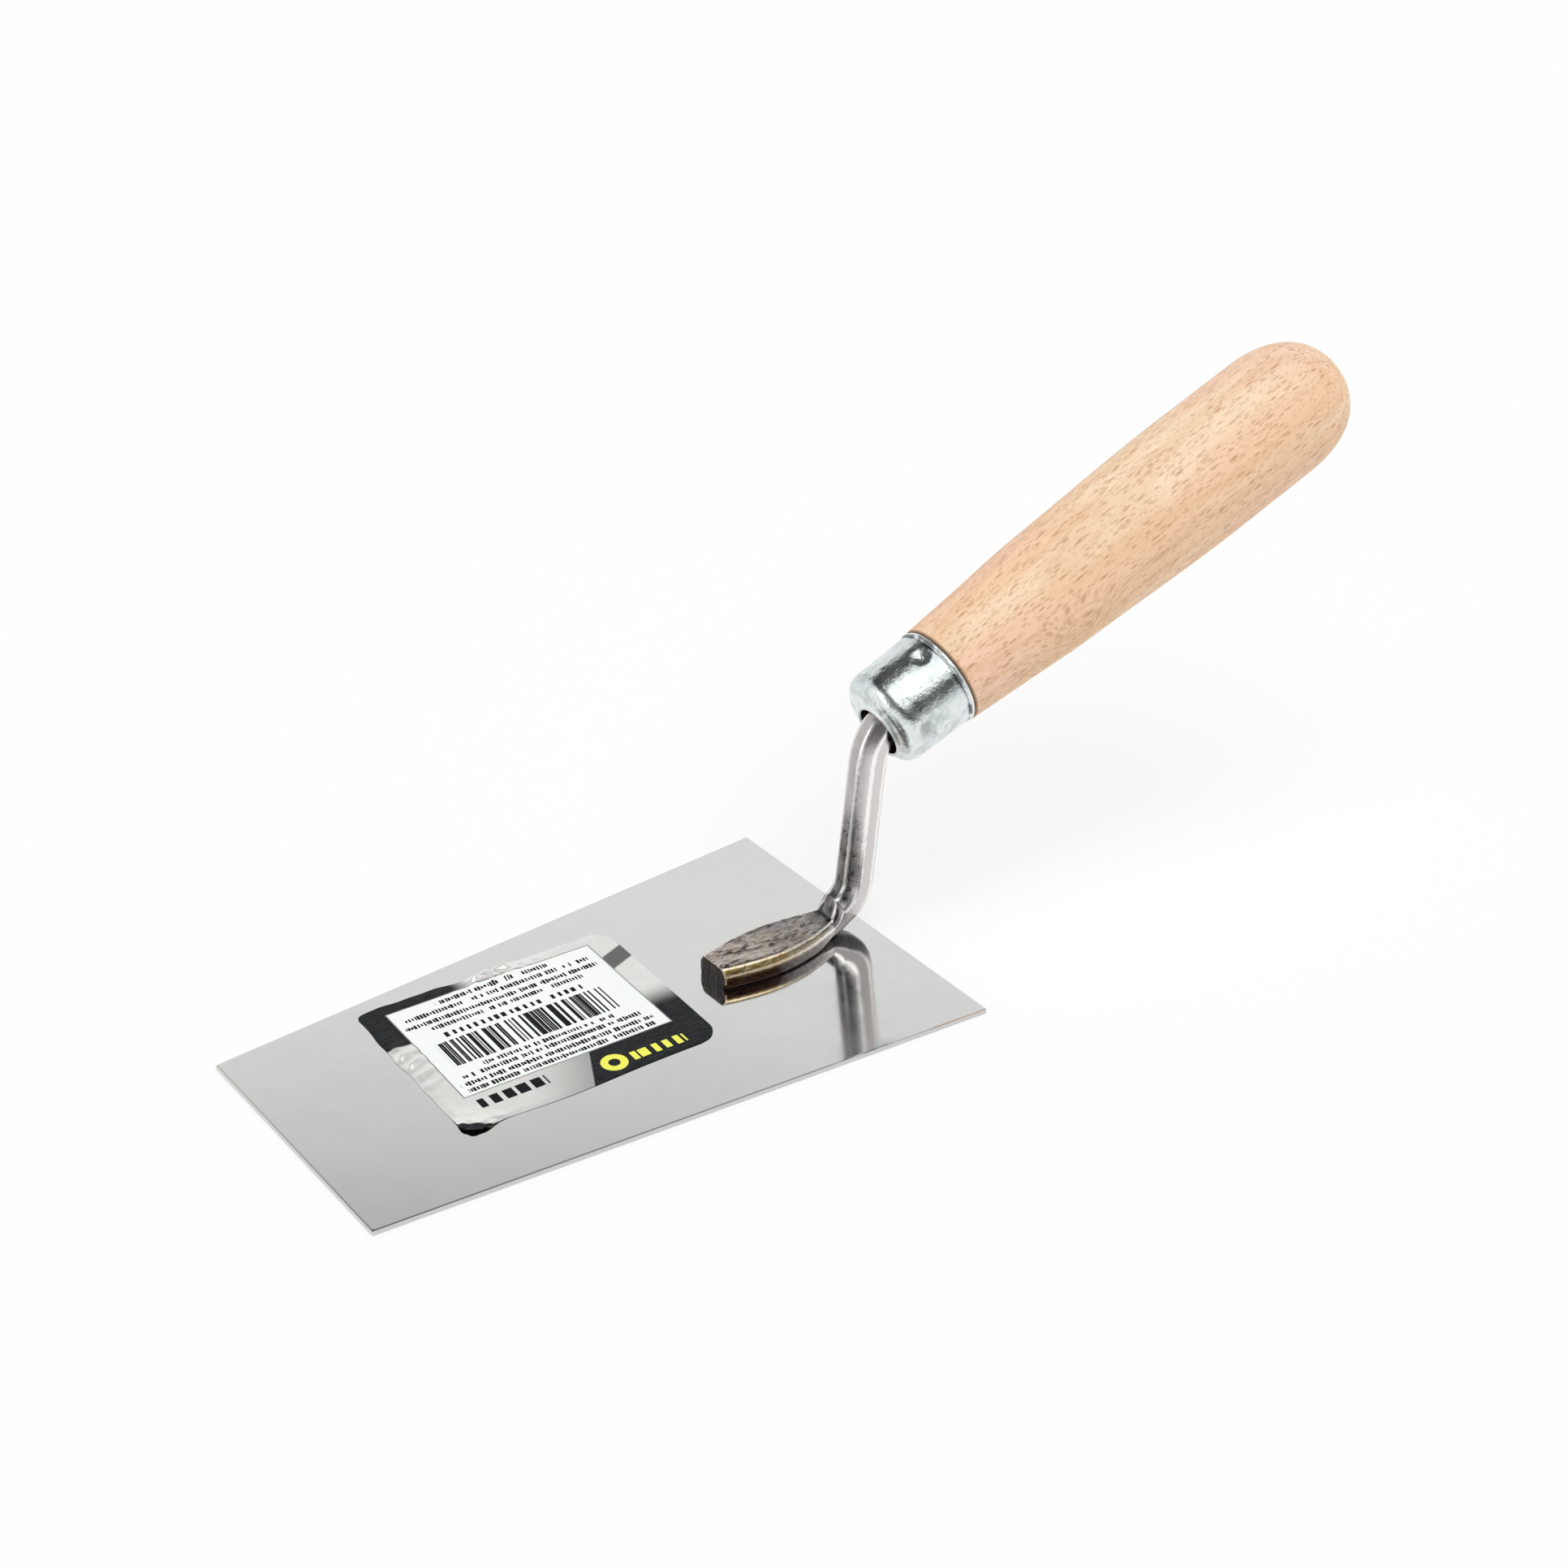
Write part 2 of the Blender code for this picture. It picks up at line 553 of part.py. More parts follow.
def build_handle(collection, cutters):
    """The turned grip: dome, barrel, spigot and the blind bore for the tang."""
    beech = new_material("handle_beech", (0.78, 0.52, 0.32), 0.55, 0.0)
    profile = handle_outside() + spigot_outside() + bore_inside()
    handle = turned("handle", profile, collection, beech)
    pocket = dent_ball("dent_pocket", DENT_BALL_RADIUS + FERRULE_WALL + SEAT_GAP, cutters)
    add_boolean(handle, pocket, "DIFFERENCE")
    shade_round(handle)
    return handle


def build_trowel():
    """Build every piece of the trowel."""
    clear_scene()
    trowel = new_collection("margin_trowel")
    cutters = new_collection("cutters")
    build_blade(trowel)
    build_label(trowel)
    build_shank(trowel)
    build_ferrule(trowel, cutters)
    build_handle(trowel, cutters)


build_trowel()
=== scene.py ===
"""Looks of the margin trowel: finer pieces, finishes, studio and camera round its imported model."""
import logging  # noqa: E402
from dataclasses import dataclass, field  # noqa: E402
from enum import Enum  # noqa: E402
from math import cos, exp, hypot, pi, radians, sin, sqrt, tan  # noqa: E402
from typing import Callable, Sequence  # noqa: E402

import bpy  # noqa: E402
from mathutils import Matrix, Vector, noise  # noqa: E402

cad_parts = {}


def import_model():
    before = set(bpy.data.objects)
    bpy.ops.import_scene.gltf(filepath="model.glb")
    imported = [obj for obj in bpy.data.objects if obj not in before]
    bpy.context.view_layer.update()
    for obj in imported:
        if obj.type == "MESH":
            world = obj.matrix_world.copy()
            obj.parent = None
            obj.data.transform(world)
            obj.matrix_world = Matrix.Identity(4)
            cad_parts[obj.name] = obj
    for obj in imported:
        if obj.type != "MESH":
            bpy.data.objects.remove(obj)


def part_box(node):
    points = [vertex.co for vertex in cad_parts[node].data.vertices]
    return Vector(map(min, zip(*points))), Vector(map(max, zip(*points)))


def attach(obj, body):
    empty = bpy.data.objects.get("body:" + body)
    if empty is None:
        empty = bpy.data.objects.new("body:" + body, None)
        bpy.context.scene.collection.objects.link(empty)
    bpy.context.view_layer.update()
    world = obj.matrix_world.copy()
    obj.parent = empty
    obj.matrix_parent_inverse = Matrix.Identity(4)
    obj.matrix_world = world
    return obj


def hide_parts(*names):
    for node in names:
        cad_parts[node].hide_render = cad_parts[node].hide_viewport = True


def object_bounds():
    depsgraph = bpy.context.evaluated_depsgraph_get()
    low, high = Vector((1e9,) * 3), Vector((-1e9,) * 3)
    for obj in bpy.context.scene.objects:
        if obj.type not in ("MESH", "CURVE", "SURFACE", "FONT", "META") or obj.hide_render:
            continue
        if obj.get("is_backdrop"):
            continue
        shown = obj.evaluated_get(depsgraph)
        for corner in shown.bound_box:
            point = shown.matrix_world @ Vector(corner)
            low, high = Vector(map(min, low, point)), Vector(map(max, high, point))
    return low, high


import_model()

CAD_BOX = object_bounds()
MM = 0.001
UP = Vector((0.0, 0.0, 1.0))
log = logging.getLogger("margin_trowel")

Colour = tuple[float, float, float]
Point = tuple[float, float, float]
Fade = tuple[float, float]


class Slot(Enum):
    """Material slots of the part's record."""

    BLADE = "blade_steel"
    LABEL = "label_foil"
    SHANK = "shank_steel"
    FERRULE = "ferrule_zinc"
    HANDLE = "handle_beech"


def smooth_step(low: float, high: float, value: float) -> float:
    """Rise smoothly from 0 at low to 1 at high.

    Args:
        low: Value at which the step starts.
        high: Value at which the step is complete.
        value: Value to place on the step.

    Returns:
        The height of the step, from 0 to 1.
    """
    share = min(max((value - low) / (high - low), 0.0), 1.0)
    return share * share * (3.0 - 2.0 * share)


def bell(distance: float, width: float) -> float:
    """A bell curve that is 1 at no distance and fades over this width."""
    return exp(-((distance / width) ** 2))


# ---------------------------------------------------------------------------
# Meshes
# ---------------------------------------------------------------------------


@dataclass
class MeshDraft:
    """Points, faces, worn-edge and facet-shade values of one mesh while it is being made; the facet
    shade is painted shade.
    """

    points: list[Vector] = field(default_factory=list)
    faces: list[tuple[int, ...]] = field(default_factory=list)
    edge: list[float] = field(default_factory=list)
    facet_shade: list[float] = field(default_factory=list)

    def ring(self, points: Sequence[Vector], edge: Sequence[float] | float = 0.0,
             facet_shade: Sequence[float] | float = 0.0) -> list[int]:
        """Add a ring of points.

        Args:
            points: Points of the ring in order.
            edge: How much each point lies on a worn edge, or one value for all.
            facet_shade: How much painted shade darkens each point, or one value for all.

        Returns:
            The new points' numbers.
        """
        first = len(self.points)
        self.points += [Vector(point) for point in points]
        self.edge += [edge] * len(points) if isinstance(edge, float) else list(edge)
        self.facet_shade += [facet_shade] * len(points) if isinstance(facet_shade, float) else list(facet_shade)
        return list(range(first, first + len(points)))

    def join(self, ring: Sequence[int], following: Sequence[int], closed: bool = True) -> None:
        """Fill the band between two rings with as many points each.

        Args:
            ring: Numbers of the first ring's points.
            following: Numbers of the second ring's points.
            closed: True if the last point joins on to the first.
        """
        count = len(ring)
        for i in range(count if closed else count - 1):
            after = (i + 1) % count
            self.faces.append((ring[i], ring[after], following[after], following[i]))

    def fan(self, ring: Sequence[int], tip: int) -> None:
        """Close a ring with triangles to one point."""
        for i, number in enumerate(ring):
            self.faces.append((number, ring[(i + 1) % len(ring)], tip))

    def build(self, name: str, placed: Matrix | None = None) -> bpy.types.Object:
        """Make the object.

        Args:
            name: Name of the object and of its mesh.
            placed: Where the object's own frame stands in the trowel's frame.

        Returns:
            The object, smooth, with each point's own place, worn edge and painted facet shade
            stored.
        """
        mesh = bpy.data.meshes.new(name)
        frame_of = placed or Matrix()
        mesh.from_pydata([tuple(frame_of @ point) for point in self.points], [], self.faces)
        own = mesh.attributes.new("own_place", "FLOAT_VECTOR", "POINT")
        own.data.foreach_set("vector", [part for point in self.points for part in point])
        for label, values in (("edge", self.edge), ("facet_shade", self.facet_shade)):
            stored = mesh.attributes.new(label, "FLOAT", "POINT")
            stored.data.foreach_set("value", values)
        mesh.shade_smooth()
        thing = bpy.data.objects.new(name, mesh)
        bpy.context.scene.collection.objects.link(thing)
        return thing


def ripple(point: Vector, pitch: float, seed: float) -> float:
    """Smooth unevenness at a point, from about -1 to 1.

    Args:
        point: Place on the piece, in metres.
        pitch: Usual distance between neighbouring swells, in metres.
        seed: Number that tells one piece's unevenness from another's.

    Returns:
        The height of the unevenness before it is scaled.
    """
    return noise.noise(point / pitch + Vector((seed, 0.37 * seed, -seed)))


def even_normals(thing: bpy.types.Object) -> None:
    """Let flats shade flat and rounded edges shade round."""
    weighted = thing.modifiers.new("even_normals", "WEIGHTED_NORMAL")
    weighted.mode = "FACE_AREA"
    weighted.weight = 60
    weighted.keep_sharp = True


def settle(thing: bpy.types.Object, node: str, slot: Slot, finish: bpy.types.Material) -> None:
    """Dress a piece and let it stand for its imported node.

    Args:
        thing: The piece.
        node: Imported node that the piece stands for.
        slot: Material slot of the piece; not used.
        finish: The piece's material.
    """
    thing.data.materials.append(finish)
    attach(thing, "root")
    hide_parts(node)
    log.info("%s: %d points, %d faces", thing.name, len(thing.data.vertices),
             len(thing.data.polygons))


# ---------------------------------------------------------------------------
# Node graphs
# ---------------------------------------------------------------------------


Wire = bpy.types.NodeSocket


@dataclass
class Graph:
    """Adds nodes to one node tree and joins them."""

    tree: bpy.types.NodeTree

    def add(self, kind: str, **settings: object) -> bpy.types.Node:
        """Add a node and give it these settings."""
        node = self.tree.nodes.new(kind)
        for name, value in settings.items():
            setattr(node, name, value)
        return node

    def feed(self, socket: Wire, value: object) -> None:
        """Join a wire to a socket, or set the socket's own value."""
        if isinstance(value, bpy.types.NodeSocket):
            self.tree.links.new(value, socket)
        elif value is not None:
            socket.default_value = value

    def math(self, operation: str, a: object, b: object = None, c: object = None,
             clamp: bool = False) -> Wire:
        """Work out one value from up to three.

        Args:
            operation: Name of the operation.
            a: First value or wire.
            b: Second value or wire.
            c: Third value or wire.
            clamp: True to keep the result from 0 to 1.

        Returns:
            The result's wire.
        """
        node = self.add("ShaderNodeMath", operation=operation, use_clamp=clamp)
        for socket, value in zip(node.inputs, (a, b, c)):
            self.feed(socket, value)
        return node.outputs[0]

    def chain(self, operation: str, values: Sequence[object]) -> Wire:
        """Join several values, one after another, by the same operation."""
        result = values[0]
        for value in values[1:]:
            result = self.math(operation, result, value)
        return result

    def product(self, *values: object) -> Wire:
        """Multiply several values."""
        return self.chain("MULTIPLY", values)

    def total(self, *values: object) -> Wire:
        """Add several values."""
        return self.chain("ADD", values)

    def highest(self, *values: object) -> Wire:
        """Take the highest of several values."""
        return self.chain("MAXIMUM", values)

    def less(self, value: object, taken: object) -> Wire:
        """Take one value from another."""
        return self.math("SUBTRACT", value, taken)

    def inverse(self, value: object) -> Wire:
        """What a value leaves of 1."""
        return self.less(1.0, value)

    def distance(self, x: Wire, y: Wire, centre: tuple[float, float]) -> Wire:
        """Distance in a plane from this centre."""
        squares = [self.math("POWER", self.less(value, middle), 2.0)
                   for value, middle in zip((x, y), centre)]
        return self.math("SQRT", self.total(*squares))

    def vector_math(self, operation: str, a: Wire, b: object = None) -> bpy.types.Node:
        """Work out a vector, a length or a dot product from one or two vectors.

        Args:
            operation: Name of the operation.
            a: First vector.
            b: Second vector or wire.

        Returns:
            The node, whose outputs are a vector and a value.
        """
        node = self.add("ShaderNodeVectorMath", operation=operation)
        self.feed(node.inputs[0], a)
        self.feed(node.inputs[1], b)
        return node

    def scaled(self, vector: Wire, factors: Point) -> Wire:
        """Stretch a vector along its three axes."""
        return self.vector_math("MULTIPLY", vector, factors).outputs[0]

    def shifted(self, vector: Wire, by: Wire) -> Wire:
        """Add one vector to another."""
        return self.vector_math("ADD", vector, by).outputs[0]

    def split(self, vector: Wire) -> list[Wire]:
        """The three parts of a vector."""
        node = self.add("ShaderNodeSeparateXYZ")
        self.feed(node.inputs[0], vector)
        return list(node.outputs)

    def merge(self, x: object, y: object, z: object) -> Wire:
        """A vector from its three parts."""
        node = self.add("ShaderNodeCombineXYZ")
        for socket, value in zip(node.inputs, (x, y, z)):
            self.feed(socket, value)
        return node.outputs[0]

    def span(self, value: object, low: object, high: object, start: object = 0.0,
             end: object = 1.0, smooth: bool = True) -> Wire:
        """Carry a value from one range to another.

        Args:
            value: Value or wire to carry over.
            low: Start of the range it comes from.
            high: End of the range it comes from.
            start: Result at low.
            end: Result at high.
            smooth: True for a smooth step, False for a straight one.

        Returns:
            The result's wire, kept between start and end.
        """
        kind = "SMOOTHSTEP" if smooth else "LINEAR"
        node = self.add("ShaderNodeMapRange", interpolation_type=kind, clamp=True)
        for socket, given in zip(node.inputs, (value, low, high, start, end)):
            self.feed(socket, given)
        return node.outputs[0]

    def mix(self, share: object, a: object, b: object) -> Wire:
        """Mix two colours.

        Args:
            share: Share of the second colour.
            a: First colour or wire.
            b: Second colour or wire.

        Returns:
            The mixed colour's wire.
        """
        node = self.add("ShaderNodeMix", data_type="RGBA", blend_type="MIX", clamp_factor=True)
        self.feed(node.inputs[0], share)
        self.feed(node.inputs[6], (*a, 1.0) if isinstance(a, tuple) else a)
        self.feed(node.inputs[7], (*b, 1.0) if isinstance(b, tuple) else b)
        return node.outputs[2]

    def layer(self, colour: object, tint: Colour, value: Wire, span: tuple[float, float],
              amount: float = 1.0) -> Wire:
        """Lay a tint over a colour wherever a value has risen through its span.

        Args:
            colour: Colour or wire underneath.
            tint: Colour on top.
            value: Value that says where the tint lies.
            span: Where the tint starts, and where it is as thick as it gets.
            amount: Thickness of the tint there, up to 1.

        Returns:
            The colour's wire.
        """
        share = self.span(value, *span)
        return self.mix(self.product(share, amount) if amount < 1.0 else share, colour, tint)

    def cloud(self, vector: Wire, scale: float, detail: float = 3.0, roughness: float = 0.55,
              distortion: float = 0.0) -> Wire:
        """Cloudy noise from 0 to 1.

        Args:
            vector: Place on the piece.
            scale: Swells in a metre.
            detail: Layers of finer noise.
            roughness: Strength of the finer layers.
            distortion: How far the noise bends itself.

        Returns:
            The noise's wire.
        """
        node = self.add("ShaderNodeTexNoise")
        self.feed(node.inputs["Vector"], vector)
        for name, value in (("Scale", scale), ("Detail", detail), ("Roughness", roughness),
                            ("Distortion", distortion)):
            node.inputs[name].default_value = value
        return node.outputs[0]

    def spots(self, vector: Wire, scale: float) -> tuple[Wire, Wire]:
        """Freely scattered cells.

        Args:
            vector: Place on the piece.
            scale: Cells in a metre.

        Returns:
            The distance to the nearest cell's middle, and that cell's own random value.
        """
        node = self.add("ShaderNodeTexVoronoi", feature="F1")
        self.feed(node.inputs["Vector"], vector)
        node.inputs["Scale"].default_value = scale
        return node.outputs["Distance"], self.split(node.outputs["Color"])[0]

    def group(self, tree: bpy.types.NodeTree, **values: object) -> bpy.types.Node:
        """Place a shared group and feed its named inputs, with _ for a space."""
        node = self.add("ShaderNodeGroup", node_tree=tree)
        for name, value in values.items():
            self.feed(node.inputs[name.replace("_", " ")], value)
        return node

    def bump(self, height: Wire, distance: float, strength: float = 1.0,
             normal: Wire | None = None) -> Wire:
        """Turn a height into a normal.

        Args:
            height: Height's wire, from 0 to 1.
            distance: Depth of a height of 1, in metres.
            strength: Share of the effect.
            normal: Normal to build on.

        Returns:
            The normal's wire.
        """
        node = self.add("ShaderNodeBump")
        node.inputs["Strength"].default_value = strength
        node.inputs["Distance"].default_value = distance
        self.feed(node.inputs["Height"], height)
        if normal is not None:
            self.feed(node.inputs["Normal"], normal)
        return node.outputs[0]

    def place(self) -> Wire:
        """Place on the piece, in metres in its own frame."""
        return self.add("ShaderNodeAttribute", attribute_name="own_place").outputs["Vector"]

    def edge(self) -> Wire:
        """How much a spot lies on an edge, as stored in the mesh."""
        return self.add("ShaderNodeAttribute", attribute_name="edge").outputs["Fac"]

    def facet_shade(self) -> Wire:
        """How much painted shade darkens a spot, as stored in the mesh."""
        return self.add("ShaderNodeAttribute", attribute_name="facet_shade").outputs["Fac"]


def new_group(name: str, inputs: dict[str, str],
              outputs: dict[str, str]) -> tuple[Graph, dict, dict]:
    """Start a shared group with named sockets.

    Args:
        name: Name of the group.
        inputs: Kind of each input by name.
        outputs: Kind of each output by name.

    Returns:
        The group's graph, its inputs' wires by name and its outputs' sockets by name.
    """
    tree = bpy.data.node_groups.new(name, "ShaderNodeTree")
    for label, kind in inputs.items():
        tree.interface.new_socket(label, in_out="INPUT", socket_type=kind)
    for label, kind in outputs.items():
        tree.interface.new_socket(label, in_out="OUTPUT", socket_type=kind)
    graph = Graph(tree)
    start = graph.add("NodeGroupInput")
    end = graph.add("NodeGroupOutput")
    return graph, dict(start.outputs.items()), dict(end.inputs.items())


VALUE = "NodeSocketFloat"
VECTOR = "NodeSocketVector"


@dataclass
class SharedEffects:
    """Effects that more than one finish uses, each a node group built once."""

    scratches: bpy.types.NodeTree = field(init=False)
    wear: bpy.types.NodeTree = field(init=False)
    smudges: bpy.types.NodeTree = field(init=False)
    print_box: bpy.types.NodeTree = field(init=False)
    print_row: bpy.types.NodeTree = field(init=False)

    def __post_init__(self) -> None:
        """Build every group."""
        self.scratches = self.build_scratches()
        self.wear = self.build_wear()
        self.smudges = self.build_smudges()
        self.print_box = self.build_print_box()
        self.print_row = self.build_print_row()

    def build_scratches(self) -> bpy.types.NodeTree:
        """Fine rubbed lines that run along the stretched place's first axis."""
        graph, given, out = new_group(
            "Fine scratches", {"Place": VECTOR, "Amount": VALUE}, {"Height": VALUE, "Mask": VALUE})
        lines = graph.cloud(graph.scaled(given["Place"], (60.0, 2600.0, 2600.0)), 1.0, 4.0, 0.7)
        strokes = graph.cloud(graph.scaled(given["Place"], (90.0, 900.0, 900.0)), 1.0, 2.0, 0.5,
                              0.4)
        thin = graph.span(strokes, 0.62, 0.70)
        fine = graph.span(lines, 0.35, 0.75)
        graph.feed(out["Height"], graph.product(graph.less(fine, thin), given["Amount"]))
        graph.feed(out["Mask"], graph.product(graph.highest(thin, graph.product(fine, 0.35)),
                                              given["Amount"]))
        return graph.tree

    def build_wear(self) -> bpy.types.NodeTree:
        """Rubbed patches along the edges."""
        graph, given, out = new_group(
            "Edge wear", {"Edge": VALUE, "Place": VECTOR, "Amount": VALUE}, {"Mask": VALUE})
        broken = graph.cloud(given["Place"], 900.0, 4.0, 0.65)
        reach = graph.total(given["Edge"], graph.product(graph.less(broken, 0.5), 1.3))
        graph.feed(out["Mask"], graph.product(graph.span(reach, 0.32, 0.80), given["Amount"]))
        return graph.tree

    def build_smudges(self) -> bpy.types.NodeTree:
        """Uneven gloss, such as handling leaves on metal."""
        graph, given, out = new_group(
            "Smudges", {"Place": VECTOR, "Low": VALUE, "High": VALUE},
            {"Roughness": VALUE, "Film": VALUE})
        wide = graph.cloud(given["Place"], 38.0, 4.0, 0.6, 0.6)
        small = graph.cloud(given["Place"], 260.0, 3.0, 0.6)
        film = graph.span(graph.total(graph.product(wide, 0.7), graph.product(small, 0.3)),
                          0.36, 0.66)
        graph.feed(out["Film"], film)
        graph.feed(out["Roughness"], graph.span(film, 0.0, 1.0, given["Low"], given["High"], False))
        return graph.tree

    def build_print_box(self) -> bpy.types.NodeTree:
        """A printed box with crisp sides, in millimetres on the label."""
        names = {"U": VALUE, "V": VALUE, "Left": VALUE, "Right": VALUE,
                 "Top": VALUE, "Bottom": VALUE,
                 "Soft": VALUE}
        graph, given, out = new_group("Printed box", names, {"Mask": VALUE})

        def after(value: Wire, limit: Wire) -> Wire:
            """1 beyond the limit, with a soft step."""
            high = graph.total(limit, given["Soft"])
            return graph.span(value, graph.less(limit, given["Soft"]), high)

        def before(value: Wire, limit: Wire) -> Wire:
            """1 short of the limit, with a soft step."""
            return graph.inverse(after(value, limit))

        graph.feed(out["Mask"], graph.product(
            after(given["U"], given["Left"]), before(given["U"], given["Right"]),
            after(given["V"], given["Top"]), before(given["V"], given["Bottom"])))
        return graph.tree

    def build_print_row(self) -> bpy.types.NodeTree:
        """A row of plain marks of uneven height, in millimetres on the label."""
        names = {"U": VALUE, "V": VALUE, "Left": VALUE, "Right": VALUE,
                 "Middle": VALUE, "Height": VALUE,
                 "Pitch": VALUE, "Fill": VALUE, "Keep": VALUE, "Uneven": VALUE, "Seed": VALUE}
        graph, given, out = new_group("Printed row", names, {"Mask": VALUE})
        along = graph.math("DIVIDE", given["U"], given["Pitch"])
        cell = graph.math("FLOOR", along)
        part = graph.less(along, cell)
        random = graph.add("ShaderNodeTexWhiteNoise", noise_dimensions="2D")
        graph.feed(random.inputs["Vector"], graph.merge(cell, given["Seed"], 0.0))
        kept = graph.math("LESS_THAN", random.outputs["Value"], given["Keep"])
        width = graph.product(given["Fill"], graph.span(
            graph.split(random.outputs["Color"])[1], 0.0, 1.0, 0.55, 1.0, False))
        filled = graph.math("LESS_THAN", part, width)
        size = graph.inverse(graph.product(
            graph.split(random.outputs["Color"])[2], given["Uneven"]))
        off = graph.math("ABSOLUTE", graph.less(given["V"], given["Middle"]))
        inside = graph.math("LESS_THAN", off, graph.product(given["Height"], size, 0.5))
        started = graph.math("GREATER_THAN", given["U"], given["Left"])
        ended = graph.math("LESS_THAN", given["U"], given["Right"])
        graph.feed(out["Mask"], graph.product(kept, filled, inside, started, ended))
        return graph.tree


def new_finish(name: str) -> tuple[bpy.types.Material, Graph, bpy.types.Node]:
    """Start a material.

    Args:
        name: Name of the material.

    Returns:
        The material, its graph and its Principled shader.
    """
    material = bpy.data.materials.new(name)
    material.use_nodes = True
    graph = Graph(material.node_tree)
    return material, graph, material.node_tree.nodes["Principled BSDF"]


# ---------------------------------------------------------------------------
# Finishes
# ---------------------------------------------------------------------------


@dataclass(frozen=True)
class PolishedSheet:
    """Stainless sheet with a fine polish, faint rubbed lines, bright worn edges and painted shade on
    its cut sides.
    """

    effects: SharedEffects
    steel: Colour = (0.765, 0.765, 0.755)
    dull: Colour = (0.72, 0.725, 0.72)
    painted_side_shade: Colour = (0.56, 0.565, 0.56)
    rubbed_edge: Colour = (0.70, 0.70, 0.69)

    def material(self) -> bpy.types.Material:
        """Build the material."""
        material, graph, shader = new_finish("polished_sheet")
        place = graph.place()
        smudges = graph.group(self.effects.smudges, Place=place, Low=0.055, High=0.105)
        lines = graph.group(self.effects.scratches, Place=place, Amount=1.0)
        worn = graph.group(self.effects.wear, Edge=graph.edge(), Place=place, Amount=0.8)
        facing = graph.split(graph.add("ShaderNodeNewGeometry").outputs["True Normal"])[2]
        # Painted shade: the sheet's cut sides are painted a darker grey.
        side = graph.span(graph.math("ABSOLUTE", facing), 0.5, 0.2)
        base = graph.mix(graph.product(smudges.outputs["Film"], 0.35), self.steel, self.dull)
        base = graph.mix(graph.product(side, 0.8), base, self.painted_side_shade)
        base = graph.mix(worn.outputs["Mask"], base, self.rubbed_edge)
        graph.feed(shader.inputs["Base Color"], base)
        shader.inputs["Metallic"].default_value = 1.0
        roughness = graph.total(smudges.outputs["Roughness"],
                                graph.product(lines.outputs["Mask"], 0.03))
        graph.feed(shader.inputs["Roughness"], roughness)
        swell = graph.cloud(place, 26.0, 2.0, 0.4)
        normal = graph.bump(swell, 0.00003, 0.25)
        normal = graph.bump(lines.outputs["Height"], 0.000001, 0.12, normal)
        graph.feed(shader.inputs["Normal"], normal)
        return material


